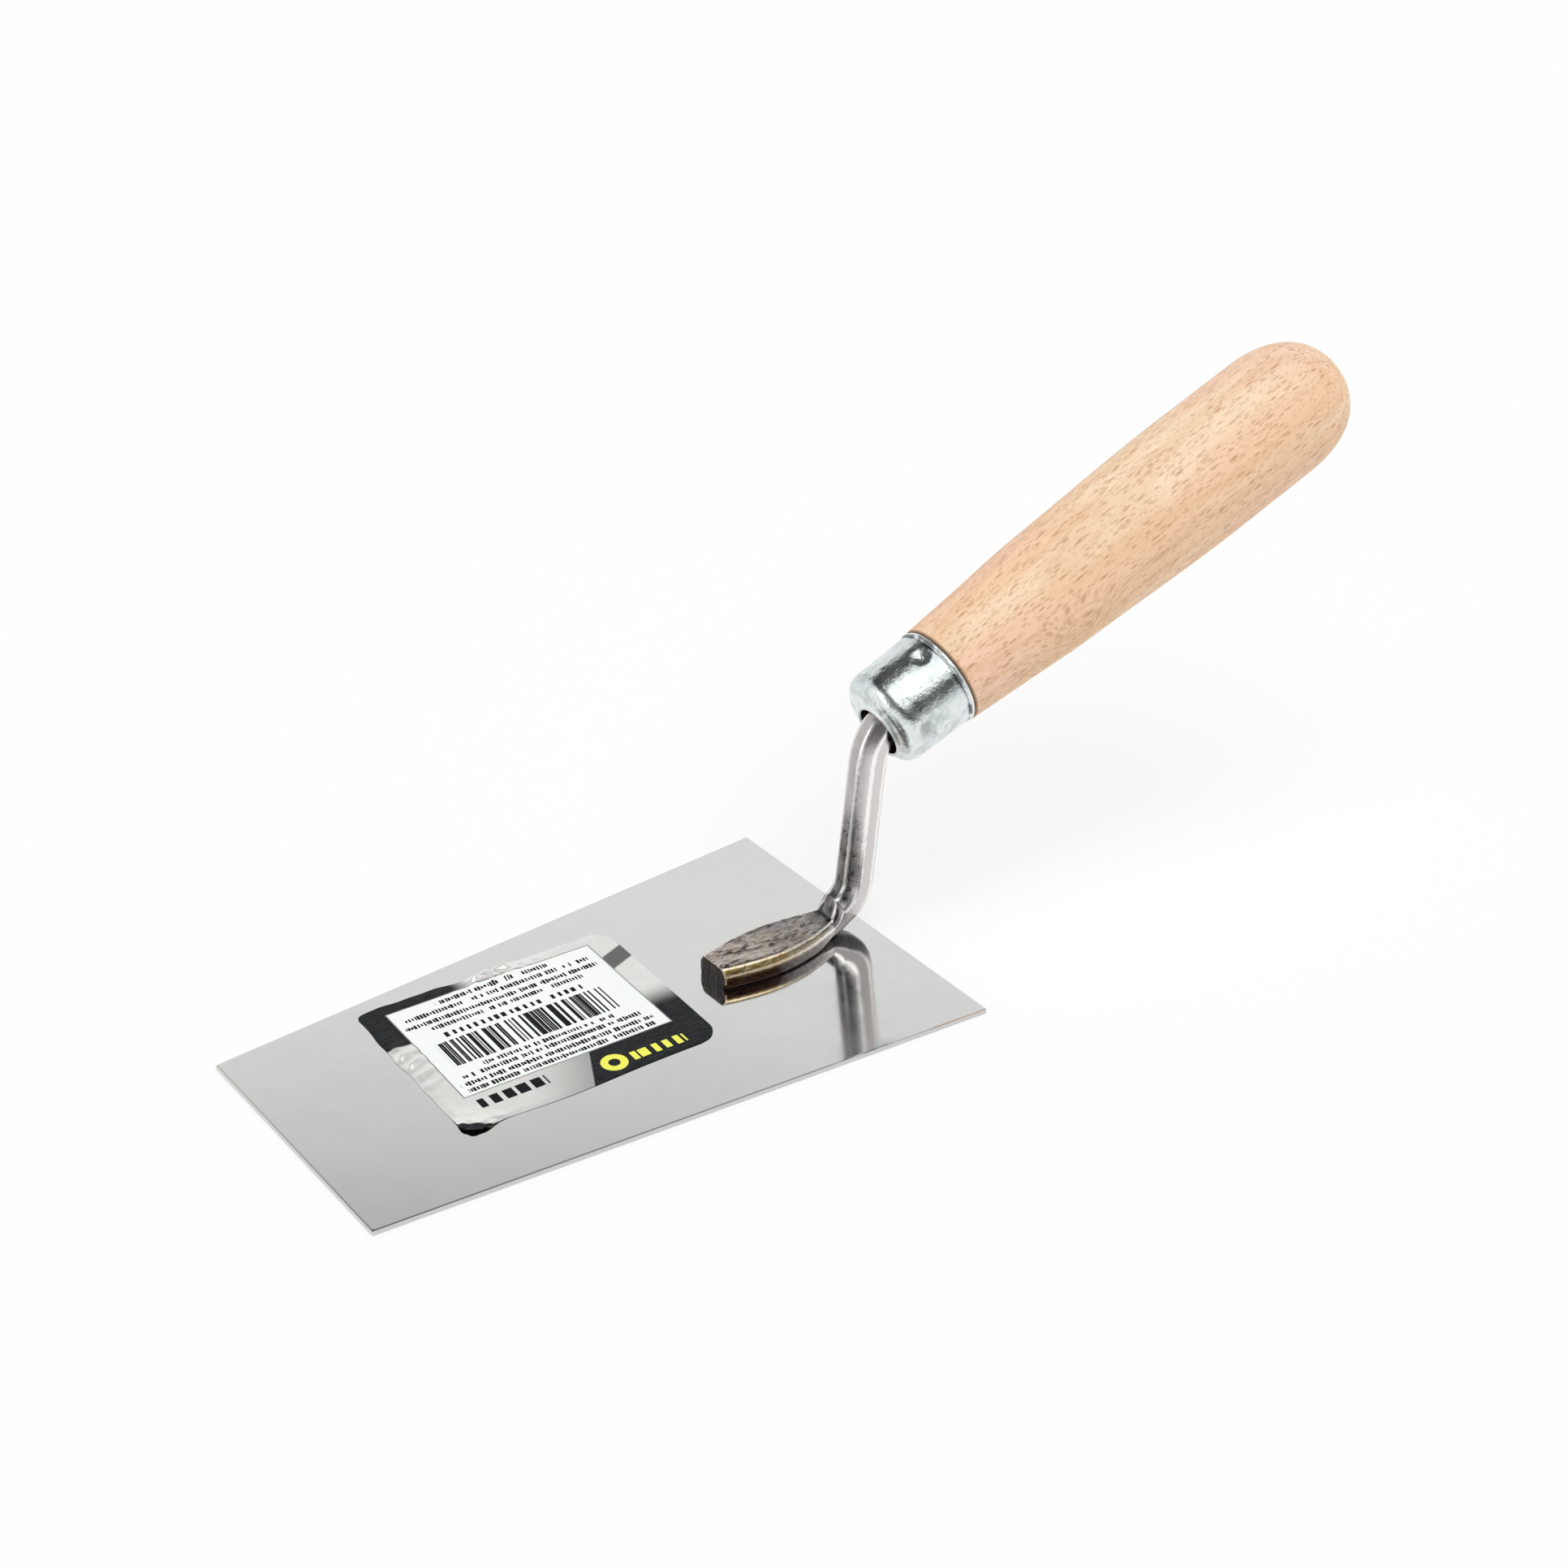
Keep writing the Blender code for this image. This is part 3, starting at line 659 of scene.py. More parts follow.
@dataclass(frozen=True)
class HeatTintedBar:
    """Steel bar: rubbed neck and weld-tinted foot, with painted shade on their darker flats and
    under the bend.
    """

    effects: SharedEffects
    foot_end: float
    blade_top: float
    heated_length: float = 0.0185
    steel: Colour = (0.68, 0.65, 0.64)
    # Near-black of the painted shade on the bar's flats and along the foot's far edge.
    painted_shade: Colour = (0.13, 0.125, 0.12)
    rubbed: Colour = (0.96, 0.95, 0.92)
    grime: Colour = (0.035, 0.032, 0.03)
    tan: Colour = (0.60, 0.49, 0.40)
    violet: Colour = (0.64, 0.53, 0.56)
    olive: Colour = (0.40, 0.39, 0.24)
    gold: Colour = (0.98, 0.80, 0.56)
    bronze: Colour = (0.30, 0.19, 0.07)
    burnt_and_contact_shade: Colour = (0.040, 0.019, 0.012)
    painted_black_shade: Colour = (0.016, 0.013, 0.013)
    bared: Colour = (0.86, 0.84, 0.81)

    def heat(self, graph: Graph, x: Wire, blotch: Wire) -> Wire:
        """How far the weld has tinted a spot, from 0 behind the foot to 1 at its front."""
        waver = graph.product(graph.less(blotch, 0.5), 0.012)
        return graph.span(graph.total(x, waver), self.foot_end - self.heated_length,
                          self.foot_end - 0.0015, 1.0, 0.0)

    def neck_colour(self, graph: Graph, z: Wire, blotch: Wire, streak: Wire) -> Wire:
        """Colour of the rubbed bar above the foot, with painted shade on its darker flats.

        Args:
            graph: Graph of the material.
            z: Height.
            blotch: Cloudy noise.
            streak: Noise drawn out along the bar.

        Returns:
            The colour's wire.
        """
        # Painted shade: the stored facet shade, stronger towards the bottom of the neck, pulls the
        # steel towards near-black.
        low = graph.span(z, 0.0310, 0.0215)
        depth = graph.total(graph.product(low, 0.53), 0.46)
        painted_shade = graph.product(graph.facet_shade(), depth,
                             graph.span(streak, 0.30, 0.62, 0.75, 1.15, False))
        colour = graph.mix(painted_shade, self.steel, self.painted_shade)
        spots = graph.product(graph.span(blotch, 0.50, 0.60),
                              graph.span(graph.facet_shade(), 0.25, 0.6), low)
        return graph.mix(graph.product(spots, 0.85), colour, self.grime)

    def foot_colour(self, graph: Graph, place: Wire, blotch: Wire, top: Wire) -> Wire:
        """Colour of the pressed and heated foot.

        Args:
            graph: Graph of the material.
            place: Place on the piece.
            blotch: Cloudy noise.
            top: How far a spot faces up.

        Returns:
            The colour's wire.
        """
        x, y, z = graph.split(place)
        drawn = graph.cloud(graph.scaled(place, (230.0, 1000.0, 400.0)), 1.0, 4.0, 0.65, 0.5)
        face = graph.mix(graph.span(drawn, 0.42, 0.62), self.tan, self.violet)
        face = graph.layer(face, self.olive, blotch, (0.46, 0.60), 0.55)
        # Painted shade along the far edge of the top face.
        rim = graph.total(y, graph.product(graph.less(blotch, 0.5), 0.004))
        face = graph.layer(face, self.painted_shade, rim, (0.0012, 0.0040), 0.80)
        scuffs = graph.cloud(graph.scaled(place, (240.0, 620.0, 300.0)), 1.0, 5.0, 0.7, 1.0)
        face = graph.layer(face, self.grime, scuffs, (0.52, 0.60), 0.90)
        face = graph.layer(face, self.steel, scuffs, (0.47, 0.39), 0.75)
        bare = graph.product(graph.span(x, self.foot_end - 0.0085, self.foot_end - 0.0010),
                             graph.span(scuffs, 0.60, 0.50), 0.75)
        face = graph.mix(bare, face, self.bared)
        # The side's lower part, next to the blade, goes near-black: part burnt heat tint, part
        # painted contact shade.
        low = graph.span(z, self.blade_top + 0.0030, self.blade_top + 0.0018)
        side = graph.mix(graph.span(blotch, 0.40, 0.66), self.bronze, self.olive)
        side = graph.mix(low, side, self.burnt_and_contact_shade)
        return graph.mix(top, side, face)

    def material(self) -> bpy.types.Material:
        """Build the material."""
        material, graph, shader = new_finish("heat_tinted_bar")
        place = graph.place()
        x, _, z = graph.split(place)
        blotch = graph.cloud(place, 420.0, 5.0, 0.62, 0.8)
        streak = graph.cloud(graph.scaled(place, (700.0, 700.0, 140.0)), 1.0, 4.0, 0.6)
        heat = self.heat(graph, x, blotch)
        facing = graph.split(graph.add("ShaderNodeNewGeometry").outputs["Normal"])
        top = graph.span(facing[2], 0.70, 0.90)
        front = graph.span(facing[0], -0.45, -0.75)
        pressed = graph.span(x, self.foot_end + 0.0005, self.foot_end - 0.0060)
        share = graph.highest(heat, graph.product(pressed, 0.55))
        colour = graph.mix(share, self.neck_colour(graph, z, blotch, streak),
                           self.foot_colour(graph, place, blotch, top))
        # Painted shade: the foot's front end face is painted near-black.
        colour = graph.mix(graph.product(front, pressed, 0.96), colour, self.painted_black_shade)
        # Painted shade on the underside of the lower bend, close to the blade.
        underside_shade = graph.product(graph.span(facing[2], -0.10, -0.45), graph.span(z, 0.017, 0.009))
        colour = graph.mix(graph.product(underside_shade, 0.88), colour, self.painted_black_shade)
        worn = graph.group(self.effects.wear, Edge=graph.edge(), Place=place, Amount=0.92)
        bright = graph.mix(graph.product(heat, graph.span(z, self.blade_top + 0.0049,
                                                          self.blade_top + 0.0040)),
                           self.rubbed, self.gold)
        kept = graph.product(worn.outputs["Mask"], graph.span(front, 0.0, 1.0, 1.0, 0.60),
                             graph.inverse(underside_shade),
                             graph.span(z, self.blade_top + 0.0009, self.blade_top + 0.0017))
        colour = graph.mix(kept, colour, bright)
        graph.feed(shader.inputs["Base Color"], colour)
        shader.inputs["Metallic"].default_value = 1.0
        smudges = graph.group(self.effects.smudges, Place=place, Low=0.17, High=0.32)
        specks = graph.span(graph.cloud(place, 1500.0, 3.0, 0.6), 0.60, 0.72)
        rough = graph.total(smudges.outputs["Roughness"], graph.product(specks, 0.15))
        graph.feed(shader.inputs["Roughness"], rough)
        lines = graph.group(self.effects.scratches,
                            Place=graph.scaled(place, (1.0, 1.0, 0.25)), Amount=1.0)
        normal = graph.bump(blotch, 0.00010, 0.5)
        dented = graph.product(graph.cloud(graph.scaled(place, (300.0, 520.0, 300.0)), 1.0, 4.0,
                                           0.65),
                               pressed)
        normal = graph.bump(dented, 0.00045, 0.6, normal)
        normal = graph.bump(graph.cloud(place, 1800.0, 4.0, 0.6), 0.00002, 0.5, normal)
        normal = graph.bump(lines.outputs["Height"], 0.000006, 0.5, normal)
        graph.feed(shader.inputs["Normal"], normal)
        return material


@dataclass(frozen=True)
class ZincPlate:
    """Bright zinc plate with a faint cool tint over drawn steel."""

    effects: SharedEffects
    length: float
    zinc: Colour = (0.77, 0.82, 0.82)
    clouded: Colour = (0.52, 0.58, 0.58)
    rubbed: Colour = (0.92, 0.95, 0.94)
    patch_and_groove_shade: Colour = (0.15, 0.17, 0.17)
    pit: Colour = (0.20, 0.22, 0.22)

    def patches_and_groove_shadow(self, graph: Graph, depth: Wire, place: Wire) -> Wire:
        """Ragged dark patches behind the shoulder, and painted shadow in the groove in front of the
        rolled bead.

        Args:
            graph: Graph of the material.
            depth: Place along the axis.
            place: Place on the piece.

        Returns:
            The mask of the patches and the painted shadow.
        """
        ragged = graph.cloud(place, 300.0, 5.0, 0.70, 0.6)
        shoulder = graph.product(graph.span(depth, 0.0016, 0.0032),
                                 graph.span(depth, 0.0085, 0.0045),
                                 graph.span(ragged, 0.47, 0.62), 0.55)
        broken = graph.cloud(graph.scaled(place, (190.0, 190.0, 60.0)), 1.0, 2.0, 0.5)
        # Painted shadow in the groove in front of the bead, next to the wood.
        groove_shadow = graph.product(graph.span(depth, self.length - 0.0021, self.length - 0.0014),
                               graph.span(depth, self.length - 0.0007, self.length - 0.0010),
                               graph.span(broken, 0.46, 0.56), 0.92)
        return graph.highest(shoulder, groove_shadow)

    def material(self) -> bpy.types.Material:
        """Build the material."""
        material, graph, shader = new_finish("zinc_plate")
        place = graph.place()
        _, cell = graph.spots(place, 900.0)
        blotch = graph.cloud(place, 240.0, 4.0, 0.6, 0.7)
        colour = graph.mix(graph.span(blotch, 0.40, 0.66), self.zinc, self.clouded)
        colour = graph.mix(graph.product(cell, 0.12), colour, self.rubbed)
        worn = graph.group(self.effects.wear, Edge=graph.edge(), Place=place, Amount=0.7)
        colour = graph.mix(worn.outputs["Mask"], colour, self.rubbed)
        pits = graph.span(graph.cloud(place, 2200.0, 3.0, 0.6), 0.68, 0.78)
        colour = graph.mix(graph.product(pits, 0.6), colour, self.pit)
        # Dark patches behind the shoulder and painted groove shadow.
        colour = graph.mix(self.patches_and_groove_shadow(graph, graph.split(place)[2], place), colour, self.patch_and_groove_shade)
        graph.feed(shader.inputs["Base Color"], colour)
        shader.inputs["Metallic"].default_value = 1.0
        smudges = graph.group(self.effects.smudges, Place=place, Low=0.14, High=0.25)
        graph.feed(shader.inputs["Roughness"],
                   graph.total(smudges.outputs["Roughness"],
                               graph.total(graph.product(pits, 0.2),
                                           graph.product(graph.edge(), 0.22))))
        drawn = graph.cloud(graph.scaled(place, (300.0, 300.0, 90.0)), 1.0, 3.0, 0.6)
        normal = graph.bump(drawn, 0.00022, 0.5)
        normal = graph.bump(graph.cloud(place, 460.0, 3.0, 0.6), 0.00022, 0.5, normal)
        normal = graph.bump(graph.cloud(place, 1300.0, 3.0, 0.6), 0.00012, 0.55, normal)
        around = graph.scaled(place, (0.2, 0.2, 8.0))
        lines = graph.group(self.effects.scratches, Place=around, Amount=0.6)
        normal = graph.bump(lines.outputs["Height"], 0.000004, 0.3, normal)
        graph.feed(shader.inputs["Normal"], normal)
        return material


@dataclass(frozen=True)
class FleckKind:
    """A kind of short mark in the wood: cells per metre, share with one, size and strength."""

    cells: Point
    keep: float
    reach: float
    strength: float


@dataclass(frozen=True)
class TurnedBeech:
    """Pale steamed beech: soft growth bands, short dark ray flecks and one small swirl."""

    swirl: Point
    mouth: float
    pith: Fade = (-0.034, -0.021)
    pale: Colour = (0.93, 0.725, 0.515)
    warm: Colour = (0.885, 0.605, 0.395)
    rosy: Colour = (0.905, 0.60, 0.455)
    band: Colour = (0.76, 0.47, 0.27)
    fleck: Colour = (0.53, 0.27, 0.13)
    mouth_brown: Colour = (0.16, 0.085, 0.045)
    fleck_kinds: tuple[FleckKind, ...] = (
        FleckKind((2300.0, 2300.0, 620.0), 0.60, 0.50, 0.55),
        FleckKind((1500.0, 1500.0, 430.0), 0.58, 0.50, 0.85),
        FleckKind((1250.0, 1250.0, 240.0), 0.38, 0.44, 1.0))

    def from_swirl(self, graph: Graph, place: Wire) -> Wire:
        """Distance from the swirl's middle, drawn out along the grain."""
        offset = graph.vector_math("SUBTRACT", place, self.swirl).outputs[0]
        return graph.vector_math("LENGTH", graph.scaled(offset, (1.0, 1.0, 0.5))).outputs["Value"]

    def grain_place(self, graph: Graph, place: Wire, distance: Wire) -> Wire:
        """Place on the wood, bent round the swirl and gently wavy elsewhere.

        Args:
            graph: Graph of the material.
            place: Place on the piece.
            distance: Distance from the swirl.

        Returns:
            The bent place's wire.
        """
        near = graph.span(distance, 0.0075, 0.0005)
        bend = graph.product(near, 0.0042)
        wave = graph.cloud(graph.scaled(place, (22.0, 22.0, 9.0)), 1.0, 2.0, 0.5)
        drift = graph.product(graph.less(wave, 0.5), 0.006)
        return graph.shifted(place, graph.merge(bend, drift, graph.product(near, 0.002)))

    def flecks(self, graph: Graph, place: Wire, kind: FleckKind) -> Wire:
        """Short marks that lie along the grain.

        Args:
            graph: Graph of the material.
            place: Bent place on the wood.
            kind: Kind of mark.

        Returns:
            The marks' mask.
        """
        distance, cell = graph.spots(graph.scaled(place, kind.cells), 1.0)
        held = graph.math("LESS_THAN", cell, kind.keep)
        uneven = graph.span(cell, 0.0, kind.keep, 1.0, 0.40, False)
        return graph.product(graph.span(distance, kind.reach, kind.reach * 0.35), held,
                             uneven, kind.strength)

    def material(self) -> bpy.types.Material:
        """Build the material."""
        material, graph, shader = new_finish("turned_beech")
        own = graph.place()
        distance = self.from_swirl(graph, own)
        place = self.grain_place(graph, own, distance)
        x, y, _ = graph.split(place)
        broad = graph.cloud(graph.scaled(place, (90.0, 90.0, 13.0)), 1.0, 3.0, 0.55, 0.3)
        pith = graph.distance(x, y, self.pith)
        rings = graph.total(graph.product(pith, 2300.0), graph.product(broad, 12.0))
        rings = graph.math("SINE", rings)
        loops = graph.product(graph.math("SINE", graph.product(distance, 3900.0)),
                              graph.span(distance, 0.0072, 0.0030))
        fibre = graph.cloud(graph.scaled(place, (2400.0, 2400.0, 190.0)), 1.0, 4.0, 0.75)
        thread = graph.cloud(graph.scaled(place, (1300.0, 1300.0, 120.0)), 1.0, 3.0, 0.6)
        colour = graph.mix(graph.span(broad, 0.38, 0.58), self.pale, self.warm)
        rosy = graph.cloud(graph.scaled(place, (75.0, 75.0, 22.0)), 1.0, 2.0, 0.5)
        colour = graph.layer(colour, self.rosy, rosy, (0.46, 0.68), 0.65)
        colour = graph.layer(colour, self.band, rings, (0.0, 1.0), 0.34)
        colour = graph.layer(colour, self.band, loops, (0.1, 0.9), 0.60)
        colour = graph.layer(colour, self.band, thread, (0.50, 0.70), 0.42)
        colour = graph.layer(colour, self.band, fibre, (0.52, 0.72), 0.36)
        marks = graph.highest(*[self.flecks(graph, place, kind) for kind in self.fleck_kinds])
        colour = graph.mix(graph.product(marks, 0.84), colour, self.fleck)
        # Darker brown on the wood's last 0.8 mm, next to the ferrule's mouth.
        colour = graph.layer(colour, self.mouth_brown, graph.split(own)[2],
                             (self.mouth + 0.0008, self.mouth + 0.0001), 0.80)
        graph.feed(shader.inputs["Base Color"], colour)
        dryness = graph.less(fibre, graph.product(marks, 0.2))
        graph.feed(shader.inputs["Roughness"], graph.span(dryness, 0.2, 0.8, 0.66, 0.50, False))
        shader.inputs["Specular IOR Level"].default_value = 0.30
        shader.inputs["Coat Weight"].default_value = 0.05
        shader.inputs["Coat Roughness"].default_value = 0.35
        normal = graph.bump(fibre, 0.00006, 0.4)
        normal = graph.bump(graph.inverse(marks), 0.00012, 0.6, normal)
        graph.feed(shader.inputs["Normal"], normal)
        return material


@dataclass(frozen=True)
class PrintedFoil:
    """Metallised sticker: a dark to silver ground, a white panel and plain generic marks."""

    effects: SharedEffects
    length: float
    width: float
    silver: Colour = (0.87, 0.865, 0.835)
    dark: Colour = (0.010, 0.012, 0.014)
    paper: Colour = (0.88, 0.91, 0.89)
    ink: Colour = (0.012, 0.012, 0.014)
    panel_line: Colour = (0.28, 0.29, 0.29)
    yellow: Colour = (0.86, 0.85, 0.13)

    def box(self, graph: Graph, u: Wire, v: Wire, sides: tuple[float, float, float, float],
            soft: float = 0.06) -> Wire:
        """A printed box.

        Args:
            graph: Graph of the material.
            u: Place along the print, in millimetres.
            v: Place down the print, in millimetres.
            sides: Left, right, top and bottom, in millimetres.
            soft: Half the width of its soft sides.

        Returns:
            The box's mask.
        """
        left, right, top, bottom = sides
        return graph.group(self.effects.print_box, U=u, V=v, Left=left, Right=right, Top=top,
                           Bottom=bottom, Soft=soft).outputs["Mask"]

    def row(self, graph: Graph, u: Wire, v: Wire, sides: tuple[float, float],
            middle: float, height: float, pitch: float, seed: float, fill: float = 0.8,
            keep: float = 0.84, uneven: float = 0.5) -> Wire:
        """A row of plain marks.

        Args:
            graph: Graph of the material.
            u: Place along the print, in millimetres.
            v: Place down the print, in millimetres.
            sides: Left and right end of the row, in millimetres.
            middle: The row's middle line, in millimetres.
            height: Height of the tallest marks, in millimetres.
            pitch: Distance from one mark to the next, in millimetres.
            seed: Number that tells one row's marks from another's.
            fill: Share of its pitch that a mark may fill.
            keep: Share of the marks that are printed.
            uneven: How far the marks' heights differ.

        Returns:
            The row's mask.
        """
        left, right = sides
        return graph.group(self.effects.print_row, U=u, V=v, Left=left, Right=right, Middle=middle,
                           Height=height, Pitch=pitch, Fill=fill, Keep=keep, Uneven=uneven,
                           Seed=seed).outputs["Mask"]

    def ground(self, graph: Graph, u: Wire, v: Wire) -> Wire:
        """How dark the printed ground is round the panel.

        Args:
            graph: Graph of the material.
            u: Place along the print, in millimetres.
            v: Place down the print, in millimetres.

        Returns:
            The darkness, from 0 for silver to 1 for black.
        """
        slant = graph.total(u, graph.product(v, 0.45))
        start_corner = graph.product(graph.span(slant, 28.0, 28.8, 1.0, 0.0),
                                     graph.span(v, 15.0, 23.0, 1.0, 0.0))
        start_fade = graph.product(graph.span(slant, 28.8, 42.0, 0.52, 0.0, False),
                                   graph.span(v, 9.0, 12.0, 1.0, 0.0))
        far_corner = graph.product(graph.span(u, 31.0, 36.0), graph.span(v, 30.0, 30.6))
        fold_line = graph.less(graph.product(graph.less(u, 48.7), 0.627), v)
        near_corner = graph.span(fold_line, 1.6, 2.1)
        band = graph.total(v, graph.product(u, 0.42))
        stripe = graph.product(graph.span(band, 33.2, 33.8), graph.span(band, 38.0, 38.6, 1.0, 0.0),
                               graph.span(u, 6.0, 7.0, 1.0, 0.0), 0.86)
        return graph.highest(start_corner, start_fade, far_corner, near_corner, stripe)

    def marks(self, graph: Graph, u: Wire, v: Wire) -> Wire:
        """Every dark mark: rows that can't be read, bars that code nothing and plain blocks.

        Args:
            graph: Graph of the material.
            u: Place along the print, in millimetres.
            v: Place down the print, in millimetres.

        Returns:
            The marks' mask.
        """
        upper = [(8.5, 49.0, 10.7), (7.6, 49.6, 12.8), (9.2, 48.0, 15.1), (14.0, 42.5, 17.2)]
        lower = [(12.0, 45.5, 32.6), (7.4, 49.8, 34.9), (8.0, 48.6, 37.5), (16.0, 41.0, 39.9)]
        rows = [self.row(graph, u, v, (left, right), middle, 1.50, 0.66, seed + 1.0, 0.9, 0.89)
                for seed, (left, right, middle) in enumerate(upper + lower)]
        rows.append(self.row(graph, u, v, (14.0, 44.5), 29.4, 1.7, 1.55, 11.0, 0.62, 0.95, 0.15))
        rows.append(self.row(graph, u, v, (11.0, 47.5), 23.2, 8.6, 0.47, 12.0, 1.0, 0.50, 0.04))
        rows.append(self.row(graph, u, v, (12.0, 46.0), 23.2, 8.6, 1.61, 13.0, 0.42, 0.60, 0.02))
        rows.append(self.row(graph, u, v, (35.0, 49.4), 6.0, 2.9, 3.0, 14.0, 0.86, 1.0, 0.0))
        return graph.highest(*rows)

    def material(self) -> bpy.types.Material:
        """Build the material."""
        material, graph, shader = new_finish("printed_foil")
        place = graph.place()
        x, y, _ = graph.split(place)
        u = graph.less(self.length / MM / 2, graph.product(x, 1 / MM))
        v = graph.total(self.width / MM / 2, graph.product(y, 1 / MM))
        brushed = graph.cloud(graph.scaled(place, (500.0, 1700.0, 500.0)), 1.0, 4.0, 0.6)
        ground = self.ground(graph, u, v)
        dark = graph.product(ground, graph.span(brushed, 0.25, 0.75, 1.0, 0.975))
        panel = self.box(graph, u, v, (5.45, 50.9, 9.15, 41.8))
        inner = self.box(graph, u, v, (5.70, 50.65, 9.40, 41.55))
        colour = graph.mix(dark, self.silver, self.dark)
        colour = graph.mix(panel, colour, self.panel_line)
        colour = graph.mix(inner, colour, self.paper)
        colour = graph.mix(self.marks(graph, u, v), colour, self.ink)
        spot = graph.distance(u, v, (21.8, 3.6))
        disc = graph.span(spot, 2.75, 2.6)
        hole = graph.span(spot, 1.25, 1.10)
        dashes = self.row(graph, u, v, (6.2, 18.0), 3.4, 2.8, 2.4, 15.0, 0.88, 1.0, 0.1)
        yellow = graph.highest(dashes, graph.math("SUBTRACT", disc, hole, clamp=True))
        colour = graph.mix(yellow, colour, self.yellow)
        graph.feed(shader.inputs["Base Color"], colour)
        matt = graph.highest(inner, yellow)
        matt = graph.highest(matt, dark)
        graph.feed(shader.inputs["Metallic"], graph.span(matt, 0.0, 1.0, 0.55, 0.0, False))
        shader.inputs["IOR"].default_value = 1.12
        smudges = graph.group(self.effects.smudges, Place=place, Low=0.24, High=0.40)
        graph.feed(shader.inputs["Roughness"],
                   graph.total(smudges.outputs["Roughness"], graph.product(inner, 0.12)))
        creases = graph.cloud(place, 330.0, 4.0, 0.6, 1.2)
        normal = graph.bump(creases, 0.00007, 0.35)
        graph.feed(shader.inputs["Normal"], graph.bump(brushed, 0.00001, 0.3, normal))
        return material


# ---------------------------------------------------------------------------
# Blade and label
# ---------------------------------------------------------------------------


@dataclass
class Blade:
    """The sheet, with lightly broken edges and corners."""

    toe_width: float = 0.0614
    corner_radius: float = 0.0004
    edge_break: float = 0.00014
    corner_steps: int = 5

    def outline(self, inset: float) -> list[tuple[float, float]]:
        """The trapezium's outline, moved in by this much, with small round corners."""
        low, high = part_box("blade")
        toe = self.toe_width / 2
        corners = [(low.x, -toe), (high.x, low.y), (high.x, high.y), (low.x, toe)]
        points: list[tuple[float, float]] = []
        for i, corner in enumerate(corners):
            here = Vector(corner)
            before = (Vector(corners[i - 1]) - here).normalized()
            after = (Vector(corners[(i + 1) % 4]) - here).normalized()
            half = before.angle(after) / 2
            middle = here + (before + after).normalized() * (self.corner_radius / sin(half))
            radius = self.corner_radius - inset
            start = here + before * (self.corner_radius / tan(half)) - middle
            end = here + after * (self.corner_radius / tan(half)) - middle
            for step in range(self.corner_steps + 1):
                share = step / self.corner_steps
                ray = (start * (1 - share) + end * share).normalized()
                points.append(tuple(middle + ray * radius))
        return points

    def build(self) -> bpy.types.Object:
        """Build the sheet."""
        low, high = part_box("blade")
        cut = self.edge_break
        draft = MeshDraft()
        levels = [(low.z, 4 * cut, 0.0), (low.z, cut, 1.0), (low.z + 0.3 * cut, 0.3 * cut, 1.0),
                  (low.z + cut, 0.0, 1.0), (low.z + 2.5 * cut, 0.0, 0.0),
                  (high.z - 2.5 * cut, 0.0, 0.0),
                  (high.z - cut, 0.0, 1.0),
                  (high.z - 0.3 * cut, 0.3 * cut, 1.0), (high.z, cut, 1.0),
                  (high.z, 4 * cut, 0.0)]
        rings = []
        for z, inset, edge in levels:
            if inset < 0.9 * self.corner_radius:
                places = [Vector((x, y, z)) for x, y in self.outline(inset)]
            else:
                places = [self.pulled_in(x, y, z, inset) for x, y in self.outline(0.0)]
            rings.append(draft.ring(places, edge))
        for ring, following in zip(rings, rings[1:]):
            draft.join(ring, following)
        draft.faces.append(tuple(reversed(rings[0])))
        draft.faces.append(tuple(rings[-1]))
        return draft.build("blade_sheet")

    def pulled_in(self, x: float, y: float, z: float, inset: float) -> Vector:
        """A point of the outline, moved towards the blade's middle line and middle length."""
        low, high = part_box("blade")
        middle = (low + high) / 2
        return Vector((x - inset * (1 if x > middle.x else -1),
                       y - inset * (1 if y > middle.y else -1), z))

    def dress(self, effects: SharedEffects) -> None:
        """Build the sheet and give it its finish."""
        sheet = self.build()
        even_normals(sheet)
        settle(sheet, "blade", Slot.BLADE, PolishedSheet(effects).material())


